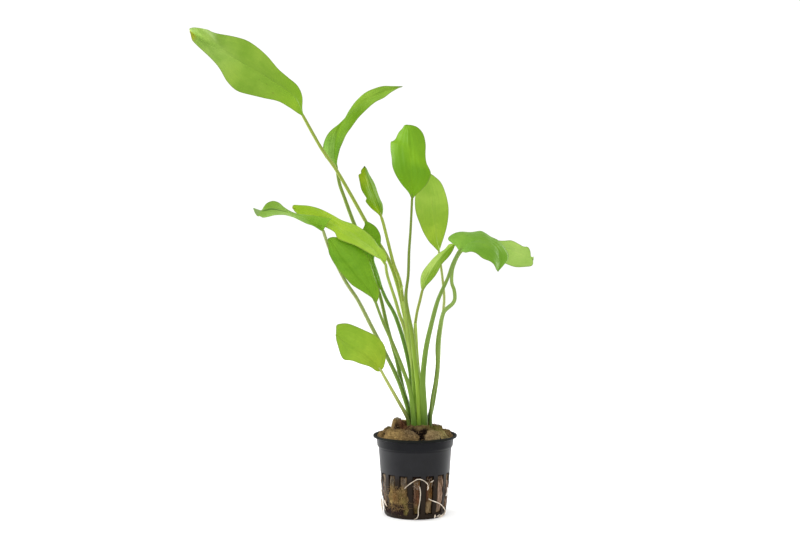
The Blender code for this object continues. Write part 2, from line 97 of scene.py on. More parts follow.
# The leaves, with the same points as the solids: (across, up, away) in millimetres, seen from EYE.
LEAVES = {
    "high_left": {
        "foot": (3.6, 4.6),
        "stalk": [
            (1, 78.5, 6.5), (-1.5, 101.5, 8.5), (-6, 126.5, 11.5), (-11, 149, 13.5),
            (-17.5, 167.5, 15.5), (-29, 186.5, 18), (-41, 208, 20.5), (-51.5, 226, 22),
            (-61.5, 240.5, 23), (-73, 261, 24),
        ],
        "rib": [
            (-79, 272.5, 23), (-91, 282, 21.5), (-107.5, 292, 19), (-123, 301, 16),
            (-136.5, 308.5, 12.5), (-145.5, 314.5, 9),
        ],
        "left": [
            (-78, 263.5, 20.5), (-90, 269.5, 18), (-110, 274.5, 14.5), (-125.5, 287.5, 12),
            (-139, 303, 10),
        ],
        "right": [
            (-73.5, 271, 27), (-80, 284, 27), (-95.5, 299, 25.5), (-113.5, 311, 22),
            (-133, 315.5, 15.5),
        ],
        "thick": (2.9, 1.6),
        "tip": 5.0,
    },
    "folded": {
        "foot": (-1.6, 4.9),
        "stalk": [
            (-7.5, 80.5, 8), (-12, 101.5, 13), (-18, 122.5, 19), (-22.5, 142, 24), (-29, 162, 28),
            (-34.5, 178, 32), (-40.7, 193, 35.5), (-46, 207.5, 38.5), (-49.2, 216.5, 40.5),
            (-51, 226, 42),
        ],
        "rib": [
            (-52.5, 237.5, 44), (-50.5, 249, 46), (-45, 260, 47), (-35, 269, 46.5), (-22, 275.5, 45),
            (-9.5, 279.5, 42),
        ],
        "left": [(-60, 237, 47), (-57.5, 248, 50.5), (-47, 258, 53), (-40, 269, 53), (-26, 278.5, 48)],
        "right": [
            (-50.5, 234, 39.5), (-47, 246, 36.5), (-40.5, 255.5, 35.5), (-30, 266.5, 36),
            (-17.5, 274, 38),
        ],
        "thick": (2.7, 1.6),
        "tip": 0.6,
    },
    "upright": {
        "foot": (2.6, -4.2),
        "stalk": [
            (2.5, 78.5, -5), (0, 101.5, -6.5), (-2.5, 121, -8), (-6, 141, -9.5), (-4.5, 157.5, -11.5),
            (-4, 172.5, -14), (-3, 186.5, -17), (-2, 207, -21),
        ],
        "rib": [
            (-2, 216, -23), (-2.5, 226, -24), (-3.5, 235.5, -24.5), (-4.5, 244, -24),
            (-4.5, 250.5, -22.5), (-4.5, 255, -20.5),
        ],
        "left": [
            (-7.5, 215.5, -19), (-13, 226, -17), (-16, 237, -16), (-16, 244, -15.5), (-10.5, 251, -16),
        ],
        "right": [
            (4.5, 212, -26), (10.5, 222.5, -29), (7, 233, -28.5), (6.5, 243.5, -26.5), (3, 252.5, -23),
        ],
        "thick": (3.0, 1.8),
        "tip": 4.5,
    },
    "upright_back": {
        "foot": (9.2, 3.4),
        "stalk": [
            (12, 75, 6), (15, 95, 9), (16, 114.5, 13), (17.5, 126.5, 15), (19, 141, 18.5),
            (18, 154, 21), (17, 162, 23), (15.5, 172.5, 26),
        ],
        "rib": [
            (13.5, 180, 27.5), (12, 189.5, 30), (11, 198.5, 32), (10.5, 207.5, 33.5), (9, 216.5, 34),
            (7, 224.5, 33.5),
        ],
        "left": [(10.5, 178, 25), (5, 186, 25), (1, 196.5, 26), (-0.5, 205, 28), (2, 214.5, 30.5)],
        "right": [(18, 178, 29.5), (21, 188, 33), (22, 199, 37), (20.5, 209, 38), (16, 218.5, 36.5)],
        "thick": (2.6, 1.4),
        "tip": 1.0,
    },
    "narrow": {
        "foot": (3.7, -0.6),
        "stalk": [
            (1.5, 78.5, 0.9), (-1, 101.5, 1), (-4.5, 121, 0.5), (-8, 141, -0.5), (-10, 153.5, -2),
            (-14, 164.5, -4), (-17, 176, -7), (-20.5, 190, -11), (-22, 195, -12.5),
        ],
        "rib": [
            (-24, 201, -14.5), (-27, 208, -17), (-29.5, 214.5, -19), (-31.5, 220.5, -20.5),
            (-32.5, 225, -21), (-33, 228, -20.5),
        ],
        "left": [
            (-28, 200, -18), (-31.5, 206, -23), (-34.5, 212, -26), (-36.5, 220, -25.5),
            (-35.5, 224, -23),
        ],
        "right": [
            (-21.5, 200.5, -10), (-22.5, 207, -9.5), (-25, 213.5, -10.5), (-28.5, 220, -13),
            (-31, 225, -16),
        ],
        "thick": (2.6, 1.7),
        "tip": 0.6,
    },
    "curled": {
        "foot": (-3.0, 1.2),
        "stalk": [
            (-6, 74, 1.5), (-11.5, 89.5, 2), (-19.5, 106, 2), (-29, 124.5, 1.5), (-37.5, 141, 1),
            (-46, 154, 0), (-55.5, 173.5, -2), (-60, 186, -6),
        ],
        "rib": [
            (-67.5, 191.5, -9.5), (-76.5, 196, -14), (-85.5, 198.5, -18.5), (-93.5, 200, -22),
            (-100, 199, -24.5), (-105, 199.5, -25.5),
        ],
        "left": [
            (-65.5, 188.5, -15), (-73, 192, -24), (-83, 195.5, -31), (-92.5, 196.5, -33.5),
            (-100.5, 195, -31),
        ],
        "right": [
            (-57, 194, -7), (-69, 196.5, -7.5), (-81, 199, -9.5), (-90.5, 205, -14), (-99, 203, -20.5),
        ],
        "thick": (2.8, 1.7),
        "tip": 2.0,
    },
    "slanting": {
        "foot": (0.3, -1.3),
        "stalk": [
            (-0.5, 78.5, -1.6), (-2.5, 101.5, -1.8), (-7, 122, -2.4), (-10.3, 131.5, -2.7),
            (-13, 141, -3), (-18, 156.5, -3.5), (-19.2, 164, -4),
        ],
        "rib": [
            (-27.5, 174.5, -2.5), (-38.5, 183, -0.5), (-49.5, 189, 1), (-61, 194.5, 2), (-71, 198.5, 3),
            (-79.5, 201.5, 3.5),
        ],
        "left": [
            (-28, 169, -8), (-40.5, 177.5, -8.5), (-50.5, 182, -7.5), (-60, 189.5, -4),
            (-73, 196, -1),
        ],
        "right": [
            (-22.5, 175.5, 1), (-32, 185.5, 5), (-45, 192, 8), (-57.5, 198.5, 9.5),
            (-70, 202.5, 8),
        ],
        "thick": (2.6, 1.5),
        "tip": 2.0,
    },
    "mid_left": {
        "foot": (-0.9, -5.0),
        "stalk": [
            (-3, 80, -6.5), (-8, 95.5, -8), (-14.5, 112, -9), (-21, 126.5, -10), (-25.5, 138.5, -11),
        ],
        "rib": [
            (-30, 147.5, -10.5), (-36.5, 156, -9.5), (-42.5, 164, -8.5), (-48, 170.5, -7.5),
            (-51.5, 176, -6.5), (-55, 180, -5.5),
        ],
        "left": [
            (-32, 145, -12.5), (-41.5, 150.5, -12.5), (-49, 158, -11), (-53.5, 166, -9),
            (-56.5, 173.5, -7),
        ],
        "right": [
            (-23.5, 145.5, -8.5), (-26, 154, -6.5), (-30, 164.5, -5), (-35.5, 174.5, -4.5),
            (-46, 180, -4.5),
        ],
        "thick": (2.8, 1.5),
        "tip": 1.6,
    },
    "shaded": {
        "foot": (0.4, 2.2),
        "stalk": [
            (-1.5, 78.5, 3.2), (-3.5, 96.5, 4.3), (-7.5, 114, 5), (-13, 130.5, 6), (-18.5, 140.5, 6.5),
            (-21, 146, 7),
        ],
        "rib": [
            (-23.5, 154, 8), (-26.5, 162.5, 9.5), (-29, 171, 10.5), (-30.5, 178, 11.5),
            (-32, 185.5, 12.5), (-32.5, 192, 13),
        ],
        "left": [
            (-26, 152.5, 5), (-31.5, 162, 5.5), (-35.5, 171, 7), (-37.5, 180, 9), (-33.5, 188.5, 11),
        ],
        "right": [
            (-22.5, 153.5, 10.5), (-25.5, 161, 12), (-26, 169, 13), (-22.5, 178, 13.5),
            (-26, 188, 13.5),
        ],
        "thick": (2.9, 1.8),
        "tip": 0.8,
    },
    "small": {
        "foot": (6.3, 1.4),
        "stalk": [
            (4, 78.5, 3), (1, 101.5, 4.6), (0, 121, 6), (1, 131.5, 7.5), (3.5, 142, 9),
            (4.5, 146.5, 10),
        ],
        "rib": [
            (7, 153.5, 9), (10.5, 160, 8), (14.5, 166, 7), (18, 170.5, 6), (22.5, 175, 5.5),
            (26.5, 178, 5.5),
        ],
        "left": [(3, 153.5, 12), (6.5, 162, 14), (11.5, 169, 14), (17, 173.5, 12.5), (22.5, 178, 9)],
        "right": [(8.5, 151, 6), (13.5, 157.5, 3), (18, 164, 1.5), (22, 169.5, 1.5), (25.5, 174.5, 3)],
        "thick": (2.5, 1.4),
        "tip": 0.6,
    },
    "drooping": {
        "foot": (6.0, -4.6),
        "stalk": [
            (5.5, 75, -7.4), (5, 88.5, -9), (7, 108, -11.5), (10.5, 124.5, -14), (15, 141, -17),
            (21, 154.5, -20.5), (24.5, 164.5, -23), (28.5, 172.5, -25.5),
        ],
        "rib": [
            (36, 179, -29), (43, 180, -32), (49, 178, -34.5), (53.5, 173.5, -36), (55.5, 166.5, -36.5),
            (54.5, 160, -36),
        ],
        "left": [
            (22.5, 181, -19), (31, 185.5, -18.5), (42.5, 186.5, -21), (51.5, 181, -26),
            (60.5, 171.5, -32),
        ],
        "right": [(32, 172.5, -34), (39, 172, -40.5), (45.5, 168, -44), (50, 165, -44), (53, 162, -41.5)],
        "thick": (3.2, 2.0),
        "tip": 0.8,
    },
    "pale": {
        "foot": (10.0, -0.5),
        "stalk": [
            (11, 75, -0.5), (14.5, 95, -0.5), (15, 111.5, -0.3), (16.5, 124, 0), (18.5, 132.5, 0.5),
            (21, 135.5, 1), (24.5, 138.5, 1.5), (26, 142, 2), (25.5, 147.5, 3), (24, 152, 4),
            (24, 158, 5), (25, 163, 6.5), (27.5, 169, 8.5), (31, 173.5, 11), (36.5, 175.5, 14),
            (41.5, 175.5, 16),
        ],
        "rib": [
            (48, 175.5, 17.5), (54.5, 175, 19), (61.5, 173.5, 20.5), (67, 171.5, 21.5),
            (72.5, 169.5, 22), (77.5, 168.5, 22),
        ],
        "left": [(47, 179, 21), (53.5, 180, 24.5), (61, 180, 26), (68.5, 177, 26), (74.5, 175, 25)],
        "right": [
            (47.5, 171.5, 13.5), (53.5, 167.5, 13.5), (60, 164.5, 14.5), (68, 162.5, 16),
            (75.5, 163, 17.5),
        ],
        "thick": (3.1, 1.8),
        "tip": 5.0,
    },
    "low_left": {
        "foot": (-4.1, -2.6),
        "stalk": [(-6.5, 66.5, -4.5), (-12.5, 77, -9), (-19, 88.5, -16), (-22, 94, -19.5)],
        "rib": [
            (-26.5, 100, -22.5), (-32, 106, -26.5), (-38, 109.5, -30), (-43.5, 113, -33),
            (-48, 115.5, -35.5), (-52, 118, -38),
        ],
        "left": [(-27, 96, -23), (-34, 99, -28), (-41.5, 101, -33.5), (-47, 102.5, -38), (-50, 109, -40)],
        "right": [
            (-19, 103.5, -20), (-21.5, 113.5, -22.5), (-29.5, 119.5, -24.5), (-38.5, 123.5, -27.5),
            (-47, 125.5, -32.5),
        ],
        "thick": (2.5, 1.4),
        "tip": 7.0,
    },
}

# The blades' margins from the stalk to the tip, as read off the photograph in its pixels, with the tip itself.
# left and right are as seen by someone who looks from the stalk towards the tip.
MARGINS = {
    "high_left": {
        "left": [
            (297, 112.7), (289, 107), (279, 101.3), (263, 98.2), (247, 94.3), (236, 90), (227, 81),
            (220.5, 70), (214, 62), (203, 51.5), (194.5, 43), (191.8, 39.5), (190.6, 34.5),
        ],
        "right": [
            (302.2, 108), (302, 96), (297.5, 85.5), (288, 77), (279, 69), (268, 56.5), (257, 47),
            (246, 40.3), (232, 36.3), (216, 33), (204, 28.8), (195, 27.5), (190, 28.1), (189.2, 30),
        ],
        "tip": (189.6, 32),
    },
    "folded": {
        "left": [
            (333.5, 164.5), (326.5, 159), (323.3, 153.5), (323.4, 145), (327, 136), (333, 128.8),
            (341.5, 122.2), (344.2, 119.5), (348.5, 110.5), (355, 101.5), (363, 94.5), (373, 89.3),
            (383, 86.2), (393, 86),
        ],
        "right": [
            (337.2, 163), (338.2, 155), (340.5, 146), (345, 136.5), (351, 128.5), (359, 117.5),
            (368, 108), (376, 101.2), (384, 97.5), (391, 92.5), (398, 88.3),
        ],
        "tip": (402.3, 86.2),
    },
    "upright": {
        "left": [
            (408.5, 192.5), (401.5, 184.5), (396, 175), (392.6, 166), (391.5, 158), (390.2, 150.5),
            (390.8, 142.3), (393, 141), (396, 139), (399, 132.5), (402.8, 127.5), (404.2, 125),
        ],
        "right": [
            (416, 195), (422, 190), (427, 184), (430.2, 176.5), (430.3, 171.5), (426.8, 163.5),
            (425.7, 155), (425.6, 144), (423.3, 134), (418.5, 128), (412.5, 125.3),
        ],
        "tip": (407, 124.7),
    },
    "upright_back": {
        "left": [
            (434, 247), (428.5, 241.5), (423.5, 233), (419.5, 222), (416, 212), (414.7, 203),
            (415.5, 193), (419, 183),
        ],
        "right": [
            (441, 246), (444.5, 236), (447.2, 224), (448.5, 208), (446.5, 195.5), (441.5, 183.5),
            (434, 176),
        ],
        "tip": (427, 171.5),
    },
    "narrow": {
        "left": [
            (377, 213), (370.5, 207.8), (365.6, 202.3), (365.4, 200), (366.3, 198), (362, 190),
            (359.7, 182), (358.3, 175), (360.8, 173.3), (361, 170.3),
        ],
        "right": [
            (383, 211), (382.8, 204), (380.5, 199), (377.2, 192), (373.8, 182.5), (370, 175),
            (366.8, 168.8),
        ],
        "tip": (364.4, 166),
    },
    "curled": {
        "left": [
            (317.5, 228.5), (309, 224), (298, 219.3), (287, 215.6), (276, 214.7), (269, 216.2),
            (263, 217.7), (260, 216.6), (257.5, 216.8), (255, 213.8),
        ],
        "right": [
            (326, 226), (329.5, 220.5), (331.5, 218.6), (320, 216.6), (308, 214.8), (297, 213),
            (290, 210.7), (284, 207.3), (279, 203), (273, 200.9), (267, 202.6), (263.8, 206),
            (261.5, 209.8), (257, 209),
        ],
        "tip": (253.2, 208.6),
    },
    "slanting": {
        "left": [
            (381.5, 260), (375, 256.7), (364, 250.5), (355, 245.4), (344, 240.8), (337.5, 237.8),
            (334.5, 232.2), (326, 228), (314, 221), (303, 216.2), (295.5, 212),
        ],
        "right": [
            (386.8, 257), (384.5, 251), (379, 246), (372, 237), (363, 229.8), (353, 224.3), (342, 220),
            (333, 214.8), (322, 209.8), (310, 206.2), (299, 205.1), (293.2, 205.1),
        ],
        "tip": (292.3, 207.8),
    },
    "mid_left": {
        "left": [
            (372, 297.8), (364, 292.5), (352.5, 285.7), (346, 278.7), (339, 270.5), (333.5, 262.5),
            (329.3, 254.5), (328.3, 249.3), (328.3, 244.5), (327.4, 240.8),
        ],
        "right": [
            (379, 296), (378.5, 288), (375, 276.5), (370, 262.5), (364, 252.3), (354, 243.5),
            (344, 239), (335, 237), (330.5, 237.3),
        ],
        "tip": (328.2, 238.5),
    },
    "shaded": {
        "left": [(379, 288), (375, 282), (367, 268), (361, 254), (359, 243), (361.5, 232), (364.3, 226)],
        "right": [
            (383, 288), (380.5, 280), (377, 270), (374.4, 262), (374.8, 256), (379, 249), (380.9, 241),
            (380, 234), (376, 227), (370, 222.6),
        ],
        "tip": (365.3, 220.8),
    },
    "small": {
        "left": [
            (420.7, 286), (420.2, 279.5), (422, 273.5), (426, 267.5), (431.5, 260), (438, 253.3),
            (445, 248.8), (449.5, 244.5),
        ],
        "right": [(426, 286.5), (432, 279.5), (438, 271.5), (442, 264.5), (448, 257.5), (453, 250)],
        "tip": (456, 243.5),
    },
    "drooping": {
        "left": [
            (456, 246.5), (452.5, 243.6), (448.4, 240), (449, 237.3), (454, 234), (461, 232),
            (470, 231.6), (480, 230.2), (485, 232.8), (490.5, 237.5), (497.5, 240.7), (503.5, 246),
            (508.5, 252.7), (508.9, 258.5), (504.5, 264.3),
        ],
        "right": [(467, 252.2), (476, 253.5), (484, 258.3), (491, 262.7), (495.5, 268)],
        "tip": (498, 271.6),
    },
    "pale": {
        "left": [
            (487, 241.5), (495, 240), (504, 240.3), (511, 240.6), (518, 244), (523.5, 246.4),
            (528, 246.6), (530.5, 250.5), (531.3, 256.8), (534.2, 256.6),
        ],
        "right": [(488, 254), (498, 260.5), (508, 264.3), (516, 267), (524, 267.2), (532.3, 265.3)],
        "tip": (533.2, 260),
    },
    "low_left": {
        "left": [
            (376.5, 371.3), (370, 367), (360, 363.8), (352, 360.7), (344.8, 359.8), (341, 355.5),
            (338, 347.5), (336.2, 340),
        ],
        "right": [
            (384, 366.5), (385.8, 358.5), (385.9, 350.5), (383.5, 343.5), (378.5, 338), (374.5, 335),
            (365, 330.5), (355, 325.8), (348, 323.4), (341, 323.5), (336.4, 325.2), (335.8, 330),
        ],
        "tip": (335.8, 335),
    },
}

# How each leaf looks. front is the side of the blade that the viewer sees; near and far are the front's
# sRGB colours by the stalk and by the tip; half is (side, colour, from, to) for a half painted paler as painted
# light where it faces the light, or darker as painted shade where it faces away; middle is a third colour between
# near and far, gloss is the shine and veins is how clear the veins are; ripple is (height in mm, waves, turn) along
# the margins; stain is (where the worn tip starts, its colour); hollow is (from, to, colour) of painted shade in a
# furrow along the rib; stalk is the colours at its foot and top.
LOOKS = {
    "high_left": {
        "front": "under", "near": (126, 163, 37), "middle": (122, 156, 48), "far": (136, 168, 73), "stalk": ((137, 164, 45), (134, 149, 59)),
        "dome": 0.05, "ripple": (0.6, 2.2, 0.1), "stain": (0.95, (152, 156, 30)),
    },
    "folded": {
        "front": "upper", "near": (78, 117, 8), "far": (125, 158, 55), "stalk": ((98, 125, 43), (111, 131, 50)),
        "half": ("left", (122, 160, 70), -0.1, 0.30), "dome": 0.04, "ripple": (0.4, 2.0, 0.3), "stain": (0.97, (118, 138, 84)),
        "middle": (92, 128, 19), "gloss": 0.03, "veins": 0.1,
    },
    "upright": {
        "front": "upper", "near": (106, 147, 7), "middle": (96, 139, 10), "far": (108, 151, 21), "stalk": ((134, 164, 48), (104, 123, 41)),
        "dome": 0.05, "ripple": (0.4, 2.4, 0.0),
    },
    "upright_back": {
        "front": "under", "near": (142, 173, 44), "far": (143, 176, 62), "stalk": ((111, 133, 50), (153, 162, 92)),
        "dome": 0.05, "ripple": (0.4, 2.0, 0.5),
    },
    "narrow": {
        "front": "upper", "near": (131, 161, 16), "far": (129, 154, 27), "stalk": ((137, 166, 45), (133, 150, 56)),
        "half": ("right", (95, 132, 23), -0.1, 2.0), "dome": 0.06, "ripple": (0.3, 2.0, 0.2), "stain": (0.955, (78, 96, 30)),
        "middle": (98, 136, 18), "gloss": 0.03, "veins": 0.1,
    },
    "curled": {
        "front": "under", "near": (117, 163, 36), "far": (120, 157, 50), "stalk": ((99, 128, 44), (138, 149, 91)),
        "dome": 0.05, "ripple": (0.4, 2.5, 0.6), "stain": (0.885, (129, 157, 94)),
        "half": ("left", (137, 174, 74), 0.42, 2.0), "hollow": (0.52, 0.90, (74, 108, 34)),
    },
    "slanting": {
        "front": "upper", "near": (153, 186, 61), "far": (147, 180, 36), "stalk": ((117, 153, 41), (139, 157, 68)),
        "dome": 0.05, "ripple": (0.4, 2.2, 0.4), "stain": (0.975, (160, 166, 50)),
    },
    "mid_left": {
        "front": "upper", "near": (110, 152, 27), "far": (99, 144, 24), "stalk": ((100, 131, 37), (110, 132, 55)),
        "dome": 0.07, "ripple": (0.4, 2.0, 0.2),
    },
    "shaded": {
        "front": "upper", "near": (102, 144, 24), "far": (97, 141, 15), "stalk": ((103, 137, 37), (96, 130, 46)),
        "dome": 0.05, "ripple": (0.3, 2.0, 0.7),
    },
    "small": {
        "front": "upper", "near": (103, 139, 8), "far": (105, 139, 8), "stalk": ((115, 147, 45), (137, 149, 64)),
        "half": ("left", (151, 177, 77), -0.1, 2.0), "dome": 0.05, "ripple": (0.3, 2.0, 0.1),
    },
    "drooping": {
        "front": "upper", "near": (107, 150, 48), "far": (108, 151, 41), "stalk": ((96, 125, 36), (108, 134, 55)),
        "dome": 0.06, "ripple": (0.6, 2.6, 0.3),
    },
    "pale": {
        "front": "under", "near": (145, 180, 81), "far": (149, 182, 85), "stalk": ((106, 127, 52), (126, 151, 72)),
        "dome": 0.05, "ripple": (0.5, 2.4, 0.5), "stain": (0.975, (120, 140, 84)),
    },
    "low_left": {
        "front": "upper", "near": (133, 158, 34), "far": (134, 167, 45), "stalk": ((104, 115, 56), (159, 168, 92)),
        "dome": 0.06, "ripple": (0.4, 2.0, 0.3),
    },
}

BOX_INSET = 0.25  # how far inside the solids' box a blade's middle stays
ROW_SPACING = 0.85
BLADE_COLUMNS = 36
STALK_SWELL = 1.16  # how much wider a stalk's top is than its solid's
# How much wider or slimmer some stalks are than the rest, as (share of the way up, factor).
GIRTHS = {
    "high_left": [(0.0, 1.0), (0.5, 1.08), (1.0, 1.1)],
    "folded": [(0.0, 1.0), (0.4, 1.05), (0.8, 1.36), (0.93, 1.3), (1.0, 1.1)],
    "upright": [(0.0, 1.0), (0.5, 0.98), (0.62, 0.76), (1.0, 0.72)],
    "narrow": [(0.0, 1.0), (1.0, 1.04)],
    "curled": [(0.0, 1.0), (0.3, 1.12), (1.0, 1.12)],
    "slanting": [(0.0, 1.0), (1.0, 1.1)],
    "shaded": [(0.0, 1.0), (0.5, 1.14), (1.0, 1.1)],
    "small": [(0.0, 1.0), (0.6, 1.08), (1.0, 1.1)],
    "drooping": [(0.0, 1.0), (0.3, 1.12), (0.6, 1.08), (0.85, 0.9), (1.0, 0.95)],
    "pale": [(0.0, 0.8), (0.12, 0.7), (0.2, 0.72), (0.28, 1.0), (0.42, 1.34), (0.5, 1.14), (0.75, 1.06), (1.0, 0.92)],
    "low_left": [(0.0, 1.0), (1.0, 1.12)],
}
BLADE_THICKNESS = 0.38
MARGIN_THICKNESS = 0.14
VEINS = (0.30, 0.56, 0.80)  # the side veins' shares of the way from the rib to the margin
BACK_OF_UPPER = (1.22, 1.14, 1.5, 1.0)  # a blade is paler on its underside
BACK_OF_UNDER = (0.84, 0.88, 0.70, 1.0)


def seen_at(across, up, away):
    """The point seen at (across, up) on the plane through the pot's middle, and that far behind it."""
    on_plane = Vector((across, 0.0, up))
    return on_plane + (on_plane - EYE) * (away / -EYE.y)


def on_plane(u, v):
    """The point (across, up) on the plane through the pot's middle that the photograph shows at a pixel."""
    drop = math.radians(CAMERA_DROP)
    right = (u - PHOTO_WIDTH / 2) / PHOTO_FOCAL
    above = (PHOTO_HEIGHT / 2 - v) / PHOTO_FOCAL
    sight = Vector((right, math.cos(drop) + above * math.sin(drop), above * math.cos(drop) - math.sin(drop)))
    met = EYE + sight * (-EYE.y / sight.y)
    return met.x, met.z


def under_top(across, up, away):
    """The point seen at (across, up), that far away, or nearer where it would stand over the solids' top."""
    ceiling = CAD_BOX[1][2] / MM - BOX_INSET
    if up > EYE.z:
        away = min(away, (ceiling - up) / (up - EYE.z) * -EYE.y)
    return seen_at(across, up, away)


def inside_box(point):
    """The point, kept just inside the box of the solids."""
    low, high = CAD_BOX
    return Vector(
        min(max(value, least / MM + BOX_INSET), most / MM - BOX_INSET)
        for value, least, most in zip(point, low, high)
    )


def spline_point(points, position):
    """A smooth curve through the points: position runs from 0 to their number less 1."""
    last = len(points) - 1
    index = max(0, min(int(position), last - 1))
    t = position - index
    before = points[index - 1] if index > 0 else points[0] * 2 - points[1]
    start, end = points[index], points[index + 1]
    after = points[index + 2] if index + 2 <= last else points[last] * 2 - points[last - 1]
    return 0.5 * (
        2 * start
        + (end - before) * t
        + (2 * before - 5 * start + 4 * end - after) * t**2
        + (3 * start - before - 3 * end + after) * t**3
    )


def spaced_along(points, spacing, fine_steps=24):
    """Points at even lengths along the smooth curve through the given points, with its ends."""
    count = (len(points) - 1) * fine_steps
    fine = [spline_point(points, step / fine_steps) for step in range(count + 1)]
    lengths = [0.0]
    for here, there in zip(fine, fine[1:]):
        lengths.append(lengths[-1] + (there - here).length)
    runs = max(2, round(lengths[-1] / spacing))
    chosen, index = [], 0
    for run in range(runs):
        goal = lengths[-1] * run / runs
        while lengths[index + 1] < goal:
            index += 1
        share = (goal - lengths[index]) / (lengths[index + 1] - lengths[index])
        chosen.append(fine[index].lerp(fine[index + 1], share))
    return chosen + [fine[-1]]


class Rail:
    """A smooth line that is walked by the share of its length."""

    def __init__(self, points, fine_steps=16):
        count = (len(points) - 1) * fine_steps
        self.fine = [spline_point(points, step / fine_steps) for step in range(count + 1)]
        self.runs = [0.0]
        for here, there in zip(self.fine, self.fine[1:]):
            self.runs.append(self.runs[-1] + (there - here).length)
        self.length = self.runs[-1]

    def at(self, share):
        goal = max(0.0, min(1.0, share)) * self.length
        index = min(bisect.bisect_right(self.runs, goal), len(self.runs) - 1)
        low, high = self.runs[index - 1], self.runs[index]
        return self.fine[index - 1].lerp(self.fine[index], (goal - low) / (high - low))

    def away_at(self, across, up):
        """How far behind the plane the line lies where it is seen nearest to (across, up)."""
        def gap(point):
            flat = EYE + (point - EYE) * (-EYE.y / (point.y - EYE.y))
            return (flat.x - across) ** 2 + (flat.z - up) ** 2
        return min(self.fine, key=gap).y


def radius_at(height):
    """The pot's outer radius at a height."""
    below = POT_OUTSIDE[::-1]
    for (low_radius, low), (high_radius, high) in zip(below, below[1:]):
        if height <= high:
            share = max(0.0, height - low) / (high - low)
            return low_radius + (high_radius - low_radius) * share
    return below[-1][0]


def on_pot(turn, height, standoff):
    """A point at a height over the pot's outer wall, turned from the viewer towards +X."""
    radius = radius_at(height) + standoff
    angle = math.radians(turn)
    return Vector((radius * math.sin(angle), -radius * math.cos(angle), height))


def smooth_step(low, high, value):
    share = max(0.0, min(1.0, (value - low) / (high - low)))
    return share * share * (3 - 2 * share)


def linear(colour):
    """An sRGB colour, 0 to 255, as the linear colour that a shader takes."""
    def one(value):
        value /= 255
        return value / 12.92 if value <= 0.04045 else ((value + 0.055) / 1.055) ** 2.4
    return tuple(one(value) for value in colour) + (1.0,)


class Finish:
    """A procedural material, with short calls for the nodes it is made of."""

    def __init__(self, name):
        self.material = bpy.data.materials.new(name)
        self.material.use_nodes = True
        self.tree = self.material.node_tree
        self.shader = self.tree.nodes["Principled BSDF"]

    def add(self, kind, **settings):
        made = self.tree.nodes.new(kind)
        for name, value in settings.items():
            setattr(made, name, value)
        return made

    def put(self, value, socket):
        """A number, a colour or another node's output goes into a socket."""
        if isinstance(value, bpy.types.NodeSocket):
            self.tree.links.new(value, socket)
        else:
            socket.default_value = value

    def place(self):
        """Where a point lies on the object, in metres."""
        return self.add("ShaderNodeTexCoord").outputs["Object"]

    def attribute(self, name):
        return self.add("ShaderNodeAttribute", attribute_name=name).outputs["Vector"]

    def parts(self, vector):
        split = self.add("ShaderNodeSeparateXYZ")
        self.put(vector, split.inputs[0])
        return split.outputs[0], split.outputs[1], split.outputs[2]

    def joined(self, x, y, z):
        made = self.add("ShaderNodeCombineXYZ")
        for value, socket in zip((x, y, z), made.inputs):
            self.put(value, socket)
        return made.outputs[0]

    def math(self, operation, first, second=0.0, clamp=False):
        made = self.add("ShaderNodeMath", operation=operation, use_clamp=clamp)
        self.put(first, made.inputs[0])
        self.put(second, made.inputs[1])
        return made.outputs[0]

    def noise(self, vector, scale, detail=3.0, rough=0.5, bend=0.0):
        made = self.add("ShaderNodeTexNoise")
        self.put(vector, made.inputs["Vector"])
        made.inputs["Scale"].default_value = scale
        made.inputs["Detail"].default_value = detail
        made.inputs["Roughness"].default_value = rough
        made.inputs["Distortion"].default_value = bend
        return made.outputs["Fac"]

    def span(self, value, low, high, to_low=0.0, to_high=1.0):
        """The value taken from one range to another, and kept inside it."""
        made = self.add("ShaderNodeMapRange", interpolation_type="SMOOTHSTEP")
        self.put(value, made.inputs["Value"])
        made.inputs["From Min"].default_value = low
        made.inputs["From Max"].default_value = high
        made.inputs["To Min"].default_value = to_low
        made.inputs["To Max"].default_value = to_high
        return made.outputs[0]

    def mix(self, share, first, second, blend="MIX"):
        made = self.add("ShaderNodeMix", data_type="RGBA", blend_type=blend)
        for value, index in ((share, 0), (first, 6), (second, 7)):
            self.put(value, made.inputs[index])
        return made.outputs[2]

    def tinted(self, share, colour, tint):
        """The colour, multiplied by the tint where share is 1."""
        return self.mix(share, colour, self.mix(1.0, colour, tint, "MULTIPLY"))

    def bump(self, height, strength, distance, after=None):
        made = self.add("ShaderNodeBump")
        made.inputs["Strength"].default_value = strength
        made.inputs["Distance"].default_value = distance * MM
        self.put(height, made.inputs["Height"])
        if after:
            self.put(after, made.inputs["Normal"])
        return made.outputs[0]

    def set(self, **values):
        names = {
            "colour": "Base Color", "rough": "Roughness", "normal": "Normal", "specular": "Specular IOR Level",
        }
        for name, value in values.items():
            self.put(value, self.shader.inputs[names[name]])
        return self.material


